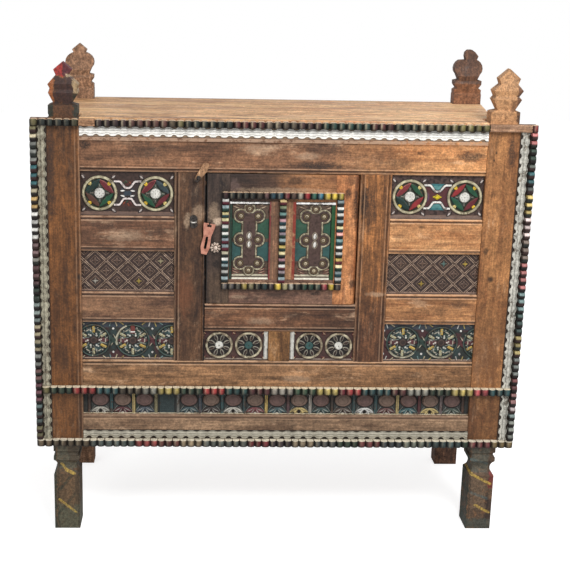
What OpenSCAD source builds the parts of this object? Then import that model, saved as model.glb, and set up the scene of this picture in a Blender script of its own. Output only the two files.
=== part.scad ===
// Dowry cabinet: a chest on four tall carved posts, with a framed and panelled front,
// a pivot-hung door in the middle, an iron hasp and a wooden turn button.
// The floor is Z = 0, the front looks towards -Y, and X = Y = 0 is the middle of the outline.

/* [Case] */
// Width across the outer faces of the posts
case_w = 1188; // [1060:4:1360]
// Depth from the front faces of the front posts to the back faces of the back posts
case_d = 480; // [400:4:600]
// Width of each post, seen from the front
post_w = 80; // [72:1:92]
// Depth of the front posts
front_post_d = 76; // [60:1:90]
// Depth of the back posts
back_post_d = 52; // [46:1:70]
// Width of each leg under the case
leg_w = 68; // [58:1:72]
// Width of the border that stands out beyond each post
wing_w = 41; // [34:1:56]
// Thickness of the wing boards
wing_t = 16; // [10:1:24]

/* [Heights from the floor up] */
// Clear height of the legs
leg_h = 244; // [180:2:320]
// Height of each lobed strip across the front
bead_h = 18; // [14:1:24]
// Height of the scalloped moulding at the foot of the case
apron_moulding_h = 24; // [20:1:32]
// Visible height of the rail over the apron moulding
base_rail_h = 42; // [30:1:60]
// Height of the frieze of discs and columns
frieze_h = 64; // [52:1:84]
// Visible height of the rail over the middle lobed strip
bottom_rail_h = 70; // [54:1:90]
// Height of the painted rosette panels
rosette_row_h = 103; // [92:1:130]
// Height of the lower rail between side panels
lower_rail_h = 82; // [60:1:100]
// Height of the lattice panels
lattice_row_h = 108; // [90:1:130]
// Height of the upper rail between side panels
upper_rail_h = 92; // [60:1:110]
// Height of the wheel panels
wheel_row_h = 114; // [102:1:136]
// Visible height of the top rail
top_rail_h = 78; // [60:1:100]
// Height of the plain lip under the top moulding
lip_h = 11; // [6:1:18]
// Height of the scalloped moulding at the head of the case
top_moulding_h = 26; // [20:1:32]
// Height of the small panels under the door
disc_row_h = 81; // [74:1:96]
// Height of the door sill rail
sill_h = 74; // [50:1:90]

/* [Front frame] */
// Width of the two inner stiles beside the door
stile_w = 80; // [64:1:96]
// Width of the door opening
opening_w = 392; // [350:2:440]
// Width of the short muntin under the door
muntin_w = 56; // [40:1:80]
// Thickness of rails and stiles
rail_t = 30; // [28:1:36]
// How far rails and stiles stand back from the post faces
rail_set = 3; // [1:0.5:6]
// How far the panels stand back from the rails
panel_set = 10; // [8:0.5:12]
// Thickness of the panels
panel_t = 10; // [8:0.5:12]
// Depth of the panel grooves
groove_d = 8; // [5:0.5:10]
// Length of the long tenons in the posts
post_tenon = 30; // [15:1:40]
// Length of the short tenons
tenon = 18; // [10:1:22]
// Shoulder above and below a tenon
shoulder = 10; // [8:1:14]
// Clearance round tenons and panels
fit = 0.2; // [0.1:0.05:0.4]

/* [Mouldings] */
// Chamfer along a moulded edge
lip_chamfer = 3; // [1:0.5:4]
// Distance of the quirk line from a moulded edge
quirk_in = 8; // [6:0.5:10]
// Width of the quirk line
quirk_w = 3; // [2:0.5:4]
// Spacing of the lobes on the lobed strips
lobe_pitch = 20; // [16:1:26]
// How far the lobes stand out from the posts
lobe_out = 18; // [14:1:22]
// Width of the upright lobed strips
side_bead_w = 15; // [12:1:18]
// Spacing of the scallops
scallop_pitch = 28; // [24:1:34]
// Thickness of the scalloped mouldings
scallop_t = 6; // [4:0.5:8]

/* [Relief] */
// Height of the main carving over its ground
relief = 5; // [3:0.5:6]
// Outer radius of the large wheels
wheel_r = 45; // [38:1:48]
// Distance from one large wheel to the next
wheel_gap = 141; // [112:1:144]
// Width of the carved rings
ring_w = 7; // [4:0.5:8]
// Radius of the hub discs
hub_r = 13.5; // [10:0.5:16]
// Outer radius of the small discs under the door
disc_r = 34.5; // [28:0.5:36]
// Distance from one small disc to the next
disc_gap = 77.5; // [74:0.5:80]
// Width of one lattice diamond
diamond_w = 56; // [48:1:64]
// Width of a lattice ridge
ridge_w = 6; // [4:0.5:8]
// Radius of the painted rosettes
rosette_r = 42; // [36:1:47]
// Distance from one painted rosette to the next
rosette_gap = 102; // [96:1:116]
// Spacing of the columns in the frieze
column_pitch = 58.6; // [54:0.2:66]
// Width of a frieze column
column_w = 9; // [6:0.5:12]
// Radius of a frieze disc
frieze_disc_r = 18; // [14:0.5:19]

/* [Door] */
// Gap between the shut door and the stop behind it
stop_gap = 0.5; // [0.3:0.1:1]
// Gap all round the door
door_gap = 2; // [1:0.5:3]
// Width of the door stiles
door_stile_w = 59; // [56:1:66]
// Height of the upper door rail
door_top_h = 70; // [60:1:78]
// Height of the lower door rail
door_bottom_h = 65; // [60:1:76]
// Width of the door muntin
door_muntin_w = 68; // [56:1:76]
// Radius of the lobes of the carved knots on the door panels
knot_lobe_r = 16; // [12:0.5:17]
// Spacing of the lobes along a knot
knot_pitch = 61; // [52:1:64]
// Radius of the pivot pins turned on the hinge stile
pivot_r = 8; // [6:0.5:9]
// Length of the pivot pins
pivot_len = 12; // [8:1:16]
// Width of the batten that stops the door
stop_w = 24; // [18:1:30]
// Running clearance of a pin in its socket
pin_fit = 0.1; // [0.05:0.05:0.2]
// Spacing of the lobes on the door
door_lobe_pitch = 17; // [14:1:20]
// How far the door lobes stand out
door_lobe_out = 12; // [9:1:14]
// Width of the lobed strips on the door
door_bead_w = 17; // [14:1:19]

/* [Ironwork and button] */
// Width of the hasp at its top
hasp_w = 31; // [24:1:34]
// Length of the hasp below its eye
hasp_len = 80; // [72:1:86]
// Thickness of the hasp
hasp_t = 2; // [1.5:0.5:3]
// Lean of the hasp where it rests on the rosette boss, in degrees
hasp_lean = 10.4; // [9:0.1:12]
// Distance from the hasp's eye to the edge of the door
eye_in = 8; // [7:0.5:9]
// Height of the hasp's eye above the door sill rail
eye_up = 213; // [200:1:226]
// Radius of the ring of the hasp's eye
eye_r = 4.5; // [4:0.25:5]
// Radius of the ring's wire
eye_wire_r = 1.5; // [1:0.25:1.5]
// Radius of the eye's shank
shank_r = 2.5; // [2:0.25:3]
// Radius of the rosette boss
boss_r = 14; // [12:0.5:15]
// Length of the turn button
button_l = 56; // [50:1:64]
// Width of the turn button at its widest
button_w = 19; // [15:1:20]
// Thickness of the turn button
button_t = 11; // [8:1:14]
// Lean of the turn button from upright, in degrees
button_lean = 32.5; // [28:0.5:40]
// Radius of the turn button's nail
nail_r = 2.2; // [1.6:0.2:2.6]
// Half the spread of the lock staple's legs
staple_half = 6; // [5.5:0.25:6.5]
// Radius of the lock staple's wire
staple_wire_r = 2; // [1.5:0.25:2.25]

/* [Boards] */
// Thickness of the top planks
top_t = 20; // [18:1:30]
// Gap between the head moulding and the top planks
top_joint = 1; // [0.4:0.1:2]
// How far the right end of the top falls short at the front, from its skewed saw cut
top_skew = 49; // [0:1:60]
// Thickness of the side and back planks
plank_t = 14; // [10:1:18]
// Thickness of the floor planks
floor_t = 18; // [14:1:22]
// Height of the side and back rails
carcass_rail_h = 82; // [60:1:96]
// Gap between neighbouring planks
plank_gap = 0.6; // [0.4:0.1:1]

/* [Hidden] */
$fn = 32;

wood_red = "#7a4a2c";
wood_gold = "#a86f3e";
wood_dark = "#4a3328";
paint_cream = "#c9bfa0";
paint_white = "#c4c4b8";
paint_teal = "#2f5f5c";
paint_maroon = "#5c2a2c";
iron = "#33302e";
copper = "#a8705c";

// Places across the front
post_out = case_w / 2;
post_in = post_out - post_w;
wing_out = post_out + wing_w;
stile_in = opening_w / 2;
stile_out = stile_in + stile_w;
column_mid = (stile_out + post_in) / 2;

// Places from front to back
post_face = -(case_d - lobe_out) / 2;
back_face = post_face + case_d;
rail_face = post_face + rail_set;
rail_back = rail_face + rail_t;
panel_face = rail_face + panel_set;
panel_back = panel_face + panel_t;
front_post_back = post_face + front_post_d;
back_post_face = back_face - back_post_d;
door_t = rail_t - stop_gap;
door_back = rail_face + door_t;

// Levels
apron_z = leg_h + bead_h;
base_rail_z = apron_z + apron_moulding_h;
frieze_z = base_rail_z + base_rail_h;
middle_bead_z = frieze_z + frieze_h;
bottom_rail_z = middle_bead_z + bead_h;
rosette_z = bottom_rail_z + bottom_rail_h;
lower_rail_z = rosette_z + rosette_row_h;
lattice_z = lower_rail_z + lower_rail_h;
upper_rail_z = lattice_z + lattice_row_h;
wheel_z = upper_rail_z + upper_rail_h;
top_rail_z = wheel_z + wheel_row_h;
lip_z = top_rail_z + top_rail_h;
top_moulding_z = lip_z + lip_h;
top_bead_z = top_moulding_z + top_moulding_h;
bead_top = top_bead_z + bead_h;
top_under = top_bead_z + top_joint;
top_z = top_under + top_t;
sill_z = rosette_z + disc_row_h;
sill_top = sill_z + sill_h;
floor_z = frieze_z - floor_t - shoulder;

// Fixed small sizes
overlap = 0.01;
quirk_d = 2;
end_play = 0.5;
waist_r = 26;
waist_bite = 10;
ring_notch_r = 7;
ring_notch_bite = 5;
finial_t = 44;
seat = 0.3;
fan_leaf_len = 22;
fan_leaf_w = 8;
fan_leaf_in = 2;
plain_out = 13;
finial_post_w = 80;
carcass_set = 6;
back_plank_set = 7;
rosette_row_left = 12;
rosette_row_right = 34;
door_panel_set = 7;
door_panel_t = 8;
door_groove = 6;
door_tenon_len = 30;
door_shoulder = 12;
door_bead_gap_x = 3;
door_bead_gap_z = 8;
knot_side = 1.3 * knot_lobe_r;
knot_band = 1.8 * knot_lobe_r;
knot_end_r = 0.7 * knot_lobe_r;
knot_end_gap = 3;
knot_rim = 3;
knot_button_h = 2.5;

// Box between three pairs of limits
module block(x, y, z)
    translate([x[0], y[0], z[0]]) cube([x[1] - x[0], y[1] - y[0], z[1] - z[0]]);

// Upright 2D drawing, raised towards the front from the depth y
module carve(y, t)
    translate([0, y, 0]) rotate([90, 0, 0]) linear_extrude(t) children();

// The drawing's mirror image on the other side of the case
module both_sides() {
    children();
    mirror([1, 0, 0]) children();
}

// Section of a framing member: depth first, then distance across from one edge to the other.
// Either edge can have a moulding on its face and a groove for a panel.
function edge_line(mould) = mould
    ? [[lip_chamfer, 0], [0, lip_chamfer], [0, quirk_in - quirk_w / 2],
       [quirk_d, quirk_in], [0, quirk_in + quirk_w / 2]]
    : [[0, 0]];
function groove_line(groove) = groove
    ? [[panel_set + panel_t + fit, 0], [panel_set + panel_t + fit, groove_d],
       [panel_set - fit, groove_d], [panel_set - fit, 0]]
    : [];
function reversed(list) = [for (i = [len(list) - 1 : -1 : 0]) list[i]];
function across(list, w) = [for (p = list) [p[0], w - p[1]]];
function member_section(w, t, moulds, grooves) = concat(
    [[t, 0]], groove_line(grooves[0]), edge_line(moulds[0]),
    across(reversed(edge_line(moulds[1])), w), across(reversed(groove_line(grooves[1])), w), [[t, w]]);

// Level member from x[0] to x[1], with its lower edge at z
module level_member(x, z, w, y = rail_face, t = rail_t, moulds = [true, true], grooves = [true, true])
    translate([x[0], y, z]) rotate([90, 0, 90]) linear_extrude(x[1] - x[0])
        polygon(member_section(w, t, moulds, grooves));

// Upright member from z[0] to z[1], with its left edge at x
module upright_member(x, z, w, y = rail_face, t = rail_t, moulds = [true, true], grooves = [true, true])
    translate([x, y, z[0]]) linear_extrude(z[1] - z[0])
        polygon([for (p = member_section(w, t, moulds, grooves)) [p[1], p[0]]]);

// Tenons are as thick as the panels and lie in line with the grooves
module level_tenon(x, z)
    block([x[0], x[1]], [panel_face, panel_back], [z[0] + shoulder, z[1] - shoulder]);
module level_mortise(x, z)
    block([x[0], x[1]], [panel_face - fit, panel_back + fit], [z[0] + shoulder - fit, z[1] - shoulder + fit]);
module upright_tenon(x, z)
    block([x[0] + shoulder, x[1] - shoulder], [panel_face, panel_back], [z[0], z[1]]);
module upright_mortise(x, z)
    block([x[0] + shoulder - fit, x[1] - shoulder + fit], [panel_face - fit, panel_back + fit], [z[0], z[1]]);

// A plain panel with its edges housed in the grooves around an opening
module panel_board(x, z, y = panel_face)
    block([x[0] - groove_d + end_play, x[1] + groove_d - end_play], [y, y + panel_t],
        [z[0] - groove_d + end_play, z[1] + groove_d - end_play]);

// Posts

// Finials were cut by eye, so each has its own outline. A row says how far it reaches outwards
// and inwards from the middle of the post, and at what height above the post.
left_finial = [[35, 33, 0], [38, 36, 9], [38, 36, 30], [25, 21, 35], [37, 37, 60], [33, 34, 71],
    [38, 38, 81], [18, 12, 104], [24, 22, 117], [1.5, -0.5, 136]];
right_finial = [[40, 34, 0], [40, 34, 29], [28, 17, 34], [42, 30, 60], [35, 24, 67], [45, 30, 82],
    [31, 12, 98], [37, 18, 112], [9.5, -8.5, 136]];
back_finial_foot = [[39, 39, 0], [39, 39, 43], [31, 31, 48], [38, 38, 58], [39, 39, 69],
    [26, 26, 72], [32, 32, 86]];
back_finial_head = [[17, 17, 131], [21, 21, 139], [0.5, 0.5, 156]];
worn_finial_head = [[23, 9, 128], [27, 12, 138], [18, 11, 149], [8, 4, 156]];
bulb_mid = [14, 104];
bulb_r = 26;
back_finial_bulb = [for (a = [-20 : 20 : 60])
    [bulb_mid[0] + bulb_r * cos(a), bulb_mid[0] + bulb_r * cos(a), bulb_mid[1] + bulb_r * sin(a)]];
back_finial_left = concat(back_finial_foot, back_finial_bulb, back_finial_head);
back_finial_right = concat(back_finial_foot, back_finial_bulb, worn_finial_head);
// Both finials narrow from front to back as they rise
finial_side = [[0.5, 0], [0.5, 30], [0.38, 34], [0.5, 60], [0.44, 68], [0.5, 82], [0.36, 110], [0.2, 160]];

module finial(outline, d) {
    wide = post_w / finial_post_w;
    outer = [for (p = outline) [p[0] * wide, p[2]]];
    inner = [for (p = reversed(outline)) [-p[1] * wide, p[2]]];
    front = [for (p = finial_side) [p[0] * d, p[1]]];
    back = [for (p = reversed(finial_side)) [-p[0] * d, p[1]]];
    intersection() {
        rotate([90, 0, 0]) linear_extrude(d, center = true) polygon(concat(outer, inner));
        rotate([90, 0, 90]) linear_extrude(1.4 * post_w, center = true) polygon(concat(front, back));
    }
}

// Leg, with a waist and a narrow ring cut into all four faces
module leg(d) {
    h = leg_h;
    difference() {
        translate([-leg_w / 2, -d / 2, 0]) cube([leg_w, d, h]);
        for (side = [-1, 1]) {
            translate([side * (leg_w / 2 + waist_r - waist_bite), 0, 0.73 * h])
                rotate([90, 0, 0]) cylinder(r = waist_r, h = d + 2, center = true);
            translate([side * (leg_w / 2 + ring_notch_r - ring_notch_bite), 0, 0.89 * h])
                rotate([90, 0, 0]) cylinder(r = ring_notch_r, h = d + 2, center = true);
            translate([0, side * (d / 2 + waist_r - waist_bite), 0.73 * h])
                rotate([0, 90, 0]) cylinder(r = waist_r, h = leg_w + 2, center = true);
            translate([0, side * (d / 2 + ring_notch_r - ring_notch_bite), 0.89 * h])
                rotate([0, 90, 0]) cylinder(r = ring_notch_r, h = leg_w + 2, center = true);
        }
    }
}

// One post at the right, from foot to finial, between the depths y[0] and y[1]
module post_body(y, outline) {
    mid = (y[0] + y[1]) / 2;
    d = y[1] - y[0];
    block([post_in, post_out], y, [leg_h, bead_top]);
    translate([post_out - leg_w / 2, mid, 0]) leg(d);
    translate([post_out - post_w / 2, mid, bead_top - overlap]) finial(outline, min(d, finial_t));
}

// Sockets in a post's inner side for a rail that runs across the case
module post_mortise(z, y = panel_face)
    block([post_in - overlap, post_in + post_tenon + end_play], [y - fit, y + panel_t + fit],
        [z[0] + shoulder - fit, z[1] - shoulder + fit]);

// Groove in a front post's inner side for panels
module post_groove(z)
    block([post_in - overlap, post_in + groove_d], [panel_face - fit, panel_back + fit], z);

module front_post(outline) difference() {
    post_body([post_face, front_post_back], outline);
    post_mortise([top_rail_z, top_under]);
    post_mortise([middle_bead_z, rosette_z]);
    post_mortise([base_rail_low, frieze_z]);
    post_groove([rosette_z - groove_d, top_rail_z + groove_d]);
    post_groove([frieze_z - groove_d, middle_bead_z + groove_d]);
    for (z = [upper_rail_z, lower_rail_z])
        level_mortise([post_in - overlap, post_in + tenon + end_play],
            [z, z + (z == upper_rail_z ? upper_rail_h : lower_rail_h)]);
    side_mortises(front_post_back, -1);
}

module back_post(outline) difference() {
    post_body([back_post_face, back_face], outline);
    for (z = back_rail_levels)
        post_mortise([z, z + carcass_rail_h], back_rail_y + panel_set);
    side_mortises(back_post_face, 1);
}

base_rail_low = leg_h + 2;
back_rail_levels = [base_rail_low, top_under - carcass_rail_h];
back_rail_y = back_face - rail_t - carcass_set;
side_rail_x = post_out - rail_t - carcass_set;
side_tenon_x = side_rail_x + panel_set;

// Sockets for the two side rails; dir is the way from the post's face into the post
module side_mortises(y_face, dir)
    for (z = back_rail_levels) {
        y_end = y_face + dir * (tenon + end_play);
        y_start = y_face - dir * overlap;
        block([side_tenon_x - fit, side_tenon_x + panel_t + fit], [min(y_start, y_end), max(y_start, y_end)],
            [z + shoulder - fit, z + carcass_rail_h - shoulder + fit]);
    }

// Front frame

module top_rail() color(wood_red) {
    h = top_under - top_rail_z;
    difference() {
        union() {
            level_member([-post_in, post_in], top_rail_z, h, moulds = [true, false], grooves = [false, false]);
            block([-post_in, post_in], [post_face, rail_face + overlap], [lip_z, top_moulding_z]);
            both_sides() level_tenon([post_in - overlap, post_in + post_tenon], [top_rail_z, top_under]);
        }
        both_sides() {
            block([stile_out - groove_d, post_in + overlap], [panel_face - fit, panel_back + fit],
                [top_rail_z - overlap, top_rail_z + groove_d]);
            upright_mortise([stile_in, stile_out], [top_rail_z - overlap, top_rail_z + tenon + end_play]);
        }
        door_socket(top_rail_z - overlap);
    }
}

module bottom_rail() color(wood_gold) {
    h = rosette_z - middle_bead_z;
    difference() {
        union() {
            level_member([-post_in, post_in], middle_bead_z, h, moulds = [false, true]);
            both_sides() level_tenon([post_in - overlap, post_in + post_tenon], [middle_bead_z, rosette_z]);
        }
        both_sides()
            upright_mortise([stile_in, stile_out], [rosette_z - tenon - end_play, rosette_z + overlap]);
        upright_mortise([-muntin_w / 2, muntin_w / 2], [rosette_z - tenon - end_play, rosette_z + overlap]);
    }
}

module base_rail() color(wood_red) {
    h = frieze_z - base_rail_low;
    difference() {
        union() {
            level_member([-post_in, post_in], base_rail_low, h, moulds = [false, true], grooves = [false, true]);
            both_sides() level_tenon([post_in - overlap, post_in + post_tenon], [base_rail_low, frieze_z]);
        }
        floor_groove(rail_back - shoulder, rail_back + overlap);
    }
}

// Groove in a rail for the ends of the floor planks
module floor_groove(y0, y1)
    block([-post_out, post_out], [y0, y1], [floor_z - fit, floor_z + floor_t + fit]);

module door_sill_rail() color(wood_red) difference() {
    union() {
        level_member([-stile_in, stile_in], sill_z, sill_h, grooves = [true, false]);
        both_sides() level_tenon([stile_in - overlap, stile_in + tenon], [sill_z, sill_top]);
    }
    upright_mortise([-muntin_w / 2, muntin_w / 2], [sill_z - overlap, sill_z + tenon + end_play]);
    door_socket(sill_top - pivot_len - end_play);
}

// Inner stile at the right of the door
module inner_stile() difference() {
    union() {
        upright_member(stile_in, [rosette_z, top_rail_z], stile_w, grooves = [false, true]);
        upright_tenon([stile_in, stile_out], [rosette_z - tenon, rosette_z + overlap]);
        upright_tenon([stile_in, stile_out], [top_rail_z - overlap, top_rail_z + tenon]);
    }
    block([stile_in - overlap, stile_in + groove_d], [panel_face - fit, panel_back + fit],
        [rosette_z - overlap, sill_z + groove_d]);
    level_mortise([stile_in - overlap, stile_in + tenon + end_play], [sill_z, sill_top]);
    for (z = [[upper_rail_z, wheel_z], [lower_rail_z, lattice_z]])
        level_mortise([stile_out - tenon - end_play, stile_out + overlap], z);
}

module inner_stile_left() color(wood_red) difference() {
    mirror([1, 0, 0]) inner_stile();
    button_nail_hole();
    staple_holes();
}

module lower_muntin() color(wood_gold) {
    x = [-muntin_w / 2, muntin_w / 2];
    upright_member(x[0], [rosette_z, sill_z], muntin_w, moulds = [false, false]);
    upright_tenon(x, [rosette_z - tenon, rosette_z + overlap]);
    upright_tenon(x, [sill_z - overlap, sill_z + tenon]);
}

// Short rail between a post and an inner stile, at the right
module column_rail(z, h) {
    level_member([stile_out, post_in], z, h);
    level_tenon([stile_out - tenon, stile_out + overlap], [z, z + h]);
    level_tenon([post_in - overlap, post_in + tenon], [z, z + h]);
}

// Carved panels

module in_opening(w, h) intersection() {
    children();
    square([w, h], center = true);
}

module ring_2d(r, w) difference() {
    circle(r = r);
    circle(r = r - w);
}

// Leaf shape between two points on the X axis
module leaf_2d(len, w) {
    r = (len * len / 4 + w * w / 4) / w;
    translate([len / 2, 0]) intersection() {
        translate([0, r - w / 2]) circle(r = r, $fn = 64);
        translate([0, w / 2 - r]) circle(r = r, $fn = 64);
    }
}

// Wheel with a rim, a hub and four crossing leaves
module wheel_2d() {
    ring_2d(wheel_r, ring_w);
    circle(r = hub_r);
    for (a = [45 : 90 : 315]) rotate(a) translate([hub_r - 2, 0]) leaf_2d(wheel_r - ring_w - hub_r + 3, 14);
}

// Ribbon that swings between the wheels
module ribbon_2d() {
    r = wheel_gap / 7;
    for (side = [-1, 1]) translate([0, side * (r + 8)]) intersection() {
        ring_2d(r, 4);
        translate([-r, side > 0 ? -r : 0]) square([2 * r, r]);
    }
}

module wheel_panel() color(wood_dark) {
    w = post_in - stile_out;
    z = [wheel_z, top_rail_z];
    panel_board([stile_out, post_in], z);
    translate([column_mid, 0, (z[0] + z[1]) / 2])
        carve(panel_face + overlap, relief) in_opening(w - 2, wheel_row_h - 2) {
        union() {
            for (side = [-1, 1]) translate([side * wheel_gap / 2, 0]) wheel_2d();
            ribbon_2d();
        }
    }
}

// Crossing double ridges with a small raised diamond in each field
module lattice_panel() color(wood_dark) {
    w = post_in - stile_out;
    half_x = diamond_w / 2;
    half_z = lattice_row_h / 4;
    lean = atan2(half_z, half_x);
    reach = w + lattice_row_h;
    n = ceil(w / diamond_w);
    panel_board([stile_out, post_in], [lattice_z, upper_rail_z]);
    translate([column_mid, 0, lattice_z + lattice_row_h / 2]) {
        carve(panel_face + overlap, relief / 2) in_opening(w - 2, lattice_row_h - 2) union() {
            for (i = [-n : n], side = [-1, 1])
                translate([(i + 0.5) * diamond_w, 0]) rotate(side * lean)
                    square([reach, ridge_w], center = true);
        }
        carve(panel_face + overlap, relief / 2) in_opening(w - 2, lattice_row_h - 2) union() {
            for (i = [-n : n], row = [-1, 0, 1])
                translate([(i + (row == 0 ? 0 : 0.5)) * diamond_w, row * half_z])
                    circle(r = diamond_w / 8, $fn = 4);
        }
    }
}

// Rosette of eight leaves in a ring
module rosette_2d(r, hub, leaves) {
    ring_2d(r, ring_w / 2);
    circle(r = hub);
    for (i = [0 : leaves - 1]) rotate(i * 360 / leaves)
        translate([hub - 1, 0]) leaf_2d(r - hub - ring_w / 2 + 2, r / 5);
}

// Row of three painted rosettes; the board was cut from a longer one, so the row is off the middle
module rosette_panel(row_mid) color(paint_teal) {
    w = post_in - stile_out;
    panel_board([stile_out, post_in], [rosette_z, lower_rail_z]);
    translate([column_mid, 0, rosette_z + rosette_row_h / 2])
        carve(panel_face + overlap, relief) in_opening(w - 2, rosette_row_h - 2) union() {
            for (i = [-1, 0, 1]) translate([row_mid + i * rosette_gap, 0])
                rosette_2d(rosette_r, rosette_r / 4, 12);
        }
}

module disc_panel() color(wood_dark) {
    x = [muntin_w / 2, stile_in];
    fillet_w = stile_in - muntin_w / 2 - 2 * disc_gap;
    disc_mid = stile_in - disc_gap;
    panel_board(x, [rosette_z, sill_z]);
    block([x[0] + end_play, x[0] + fillet_w], [panel_face - relief, panel_face + overlap],
        [rosette_z + 1, sill_z - 1]);
    translate([disc_mid, 0, rosette_z + disc_row_h / 2]) carve(panel_face + overlap, relief) union() {
        for (side = [-1, 1]) translate([side * disc_gap / 2, 0]) rosette_2d(disc_r, disc_r / 3, 8);
    }
}

// Row of discs between columns, each disc on two spread leaves
module frieze_panel() color(wood_dark) {
    n = floor(post_in / column_pitch - 0.5);
    panel_board([-post_in, post_in], [frieze_z, middle_bead_z]);
    translate([0, 0, frieze_z + frieze_h / 2])
        carve(panel_face + overlap, relief) in_opening(2 * post_in - 2, frieze_h - 2) union() {
        for (i = [-n - 1 : n]) translate([(i + 0.5) * column_pitch, 0])
            square([column_w, frieze_h], center = true);
        for (i = [-n : n]) translate([i * column_pitch, 2]) {
            circle(r = frieze_disc_r);
            for (side = [-1, 1]) translate([0, 2 - frieze_disc_r]) rotate(-90 + side * 52)
                translate([fan_leaf_in, 0]) leaf_2d(fan_leaf_len, fan_leaf_w);
        }
    }
}

// Borders

// Plan of a lobed strip along X, from the middle out, with its back on Y = 0
module lobes_2d(len, pitch, out) {
    n = round(len / pitch);
    step = len / n;
    r = step * 0.52;
    translate([-len / 2, r - out]) square([len, out - r]);
    intersection() {
        translate([-len / 2, -out]) square([len, out]);
        union() for (i = [0 : n - 1])
            translate([(i + 0.5) * step - len / 2, r - out]) circle(r = r);
    }
}

module level_lobes(len, h, y, pitch, out)
    translate([0, y, 0]) linear_extrude(h) lobes_2d(len, pitch, out);

module upright_lobes(len, w, y, pitch, out)
    translate([-w / 2, y, len / 2]) rotate([0, 90, 0]) linear_extrude(w) lobes_2d(len, pitch, out);

// A level strip, packed out at its back where it crosses the rails
module lobed_strip(x_half, z) color(paint_teal) {
    translate([0, 0, z]) level_lobes(2 * x_half, bead_h, post_face, lobe_pitch, lobe_out);
    block([-post_in + seat, post_in - seat], [post_face - overlap, rail_face], [z, z + bead_h]);
}

// The top strip, with a plain patch let in at the left and a plain band over the right post
module top_strip() color(paint_teal) translate([0, 0, top_bead_z]) {
    patch_end = 2 * lobe_pitch - post_in;
    band_end = wing_out - side_bead_w;
    for (x = [[-wing_out, -post_in], [patch_end, post_in], [band_end, wing_out]])
        translate([(x[0] + x[1]) / 2, 0, 0])
            level_lobes(x[1] - x[0], bead_h, post_face, lobe_pitch, lobe_out);
    for (x = [[-post_in, patch_end], [post_in, band_end]])
        block([x[0] - overlap, x[1] + overlap], [post_face - plain_out, post_face], [0, bead_h]);
}

module lobed_strip_side()
    translate([wing_out - side_bead_w / 2, 0, apron_z])
        upright_lobes(top_bead_z - apron_z, side_bead_w, post_face, lobe_pitch, lobe_out);

// Board that carries the border beside a post
module wing_board()
    block([post_out + fit, wing_out], [post_face, post_face + wing_t], [leg_h, bead_top]);

// Band with round scallops along both edges, from x[0] to x[1], with fine grooves down its face
module scallop_band(len, h, t) {
    n = round(len / scallop_pitch);
    step = len / n;
    r = step * 0.46;
    dip = h * 0.17;
    difference() {
        carve(0, t) intersection() {
            square([len, h], center = true);
            union() {
                square([len, h - 2 * dip], center = true);
                for (i = [0 : n - 1], side = [-1, 1])
                    translate([(i + 0.5) * step - len / 2, side * (h / 2 - r)]) circle(r = r);
            }
        }
        for (z = [-h / 6, 0, h / 6]) translate([0, -t, z]) rotate([45, 0, 0])
            cube([len + 2, 1.4, 1.4], center = true);
    }
}

module level_scallops(len, h, y, z) color(paint_white)
    translate([0, y, z + h / 2]) scallop_band(len, h, scallop_t);

module scallop_strip() {
    w = wing_w - side_bead_w - 1;
    for (z = [[apron_z, middle_bead_z], [bottom_rail_z, top_bead_z]])
        translate([post_out + 0.5 + w / 2, post_face, (z[0] + z[1]) / 2]) rotate([0, 90, 0])
            scallop_band(z[1] - z[0] - 2 * seat, w, scallop_t);
}

// Door, drawn closed and centred in its opening

door_in = stile_in - door_gap;
door_z = [sill_top + door_gap, top_rail_z - door_gap];
pivot_x = door_in - door_t / 2;
pivot_y = rail_face + door_t / 2;
panel_x_out = door_in - door_stile_w;
panel_z = [door_z[0] + door_bottom_h, door_z[1] - door_top_h];
door_panel_face = rail_face + door_panel_set;

// Socket for a pivot pin, from the level z upward
module door_socket(z)
    translate([pivot_x, pivot_y, z]) cylinder(r = pivot_r + pin_fit, h = pivot_len + end_play + 2 * overlap);

module door_tenon(x, z) block(x, [door_panel_face, door_panel_face + door_panel_t], z);
module door_mortise(x, z)
    block(x, [door_panel_face - fit, door_panel_face + door_panel_t + fit], [z[0] - fit, z[1] + fit]);

// Grooves and sockets in a door stile; x[0] is the edge that faces the panels
module door_stile_cuts(x, reach) {
    dir = reach > 0 ? 1 : -1;
    mouth = x - dir * overlap;
    floor_x = x + dir * door_groove;
    bottom_tenon = [door_z[0] + door_shoulder, panel_z[0] - door_shoulder];
    top_tenon = [panel_z[1] + door_shoulder, door_z[1] - door_shoulder];
    door_mortise([min(mouth, floor_x), max(mouth, floor_x)], [panel_z[0] - door_groove, panel_z[1] + door_groove]);
    for (z = [bottom_tenon, top_tenon]) door_mortise([min(mouth, x + reach), max(mouth, x + reach)], z);
}

module door_hinge_stile() color(wood_gold) {
    difference() {
        union() {
            block([panel_x_out, pivot_x], [rail_face, door_back], door_z);
            translate([pivot_x, pivot_y, door_z[0]]) cylinder(r = door_t / 2, h = door_z[1] - door_z[0]);
            translate([pivot_x, pivot_y, door_z[0] - pivot_len - door_gap + end_play])
                cylinder(r = pivot_r, h = door_z[1] - door_z[0] + 2 * (pivot_len + door_gap - end_play));
        }
        door_stile_cuts(panel_x_out, door_tenon_len + end_play);
    }
}

module door_lock_stile() color(wood_red) difference() {
    block([-door_in, -panel_x_out], [rail_face, door_back], door_z);
    door_stile_cuts(-panel_x_out, -door_tenon_len - end_play);
    at_eye() rotate([90, 0, 0]) cylinder(r = shank_r + pin_fit, h = 4 * door_t, center = true);
    at_boss() rotate([90, 0, 0]) cylinder(r = boss_shank_r + fit, h = 4 * door_t, center = true);
}

module door_rail(z, groove_z) difference() {
    union() {
        block([-panel_x_out, panel_x_out], [rail_face, door_back], z);
        both_sides() door_tenon([panel_x_out - overlap, panel_x_out + door_tenon_len],
            [z[0] + door_shoulder, z[1] - door_shoulder]);
    }
    door_mortise([-panel_x_out - overlap, panel_x_out + overlap], groove_z);
}

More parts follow.
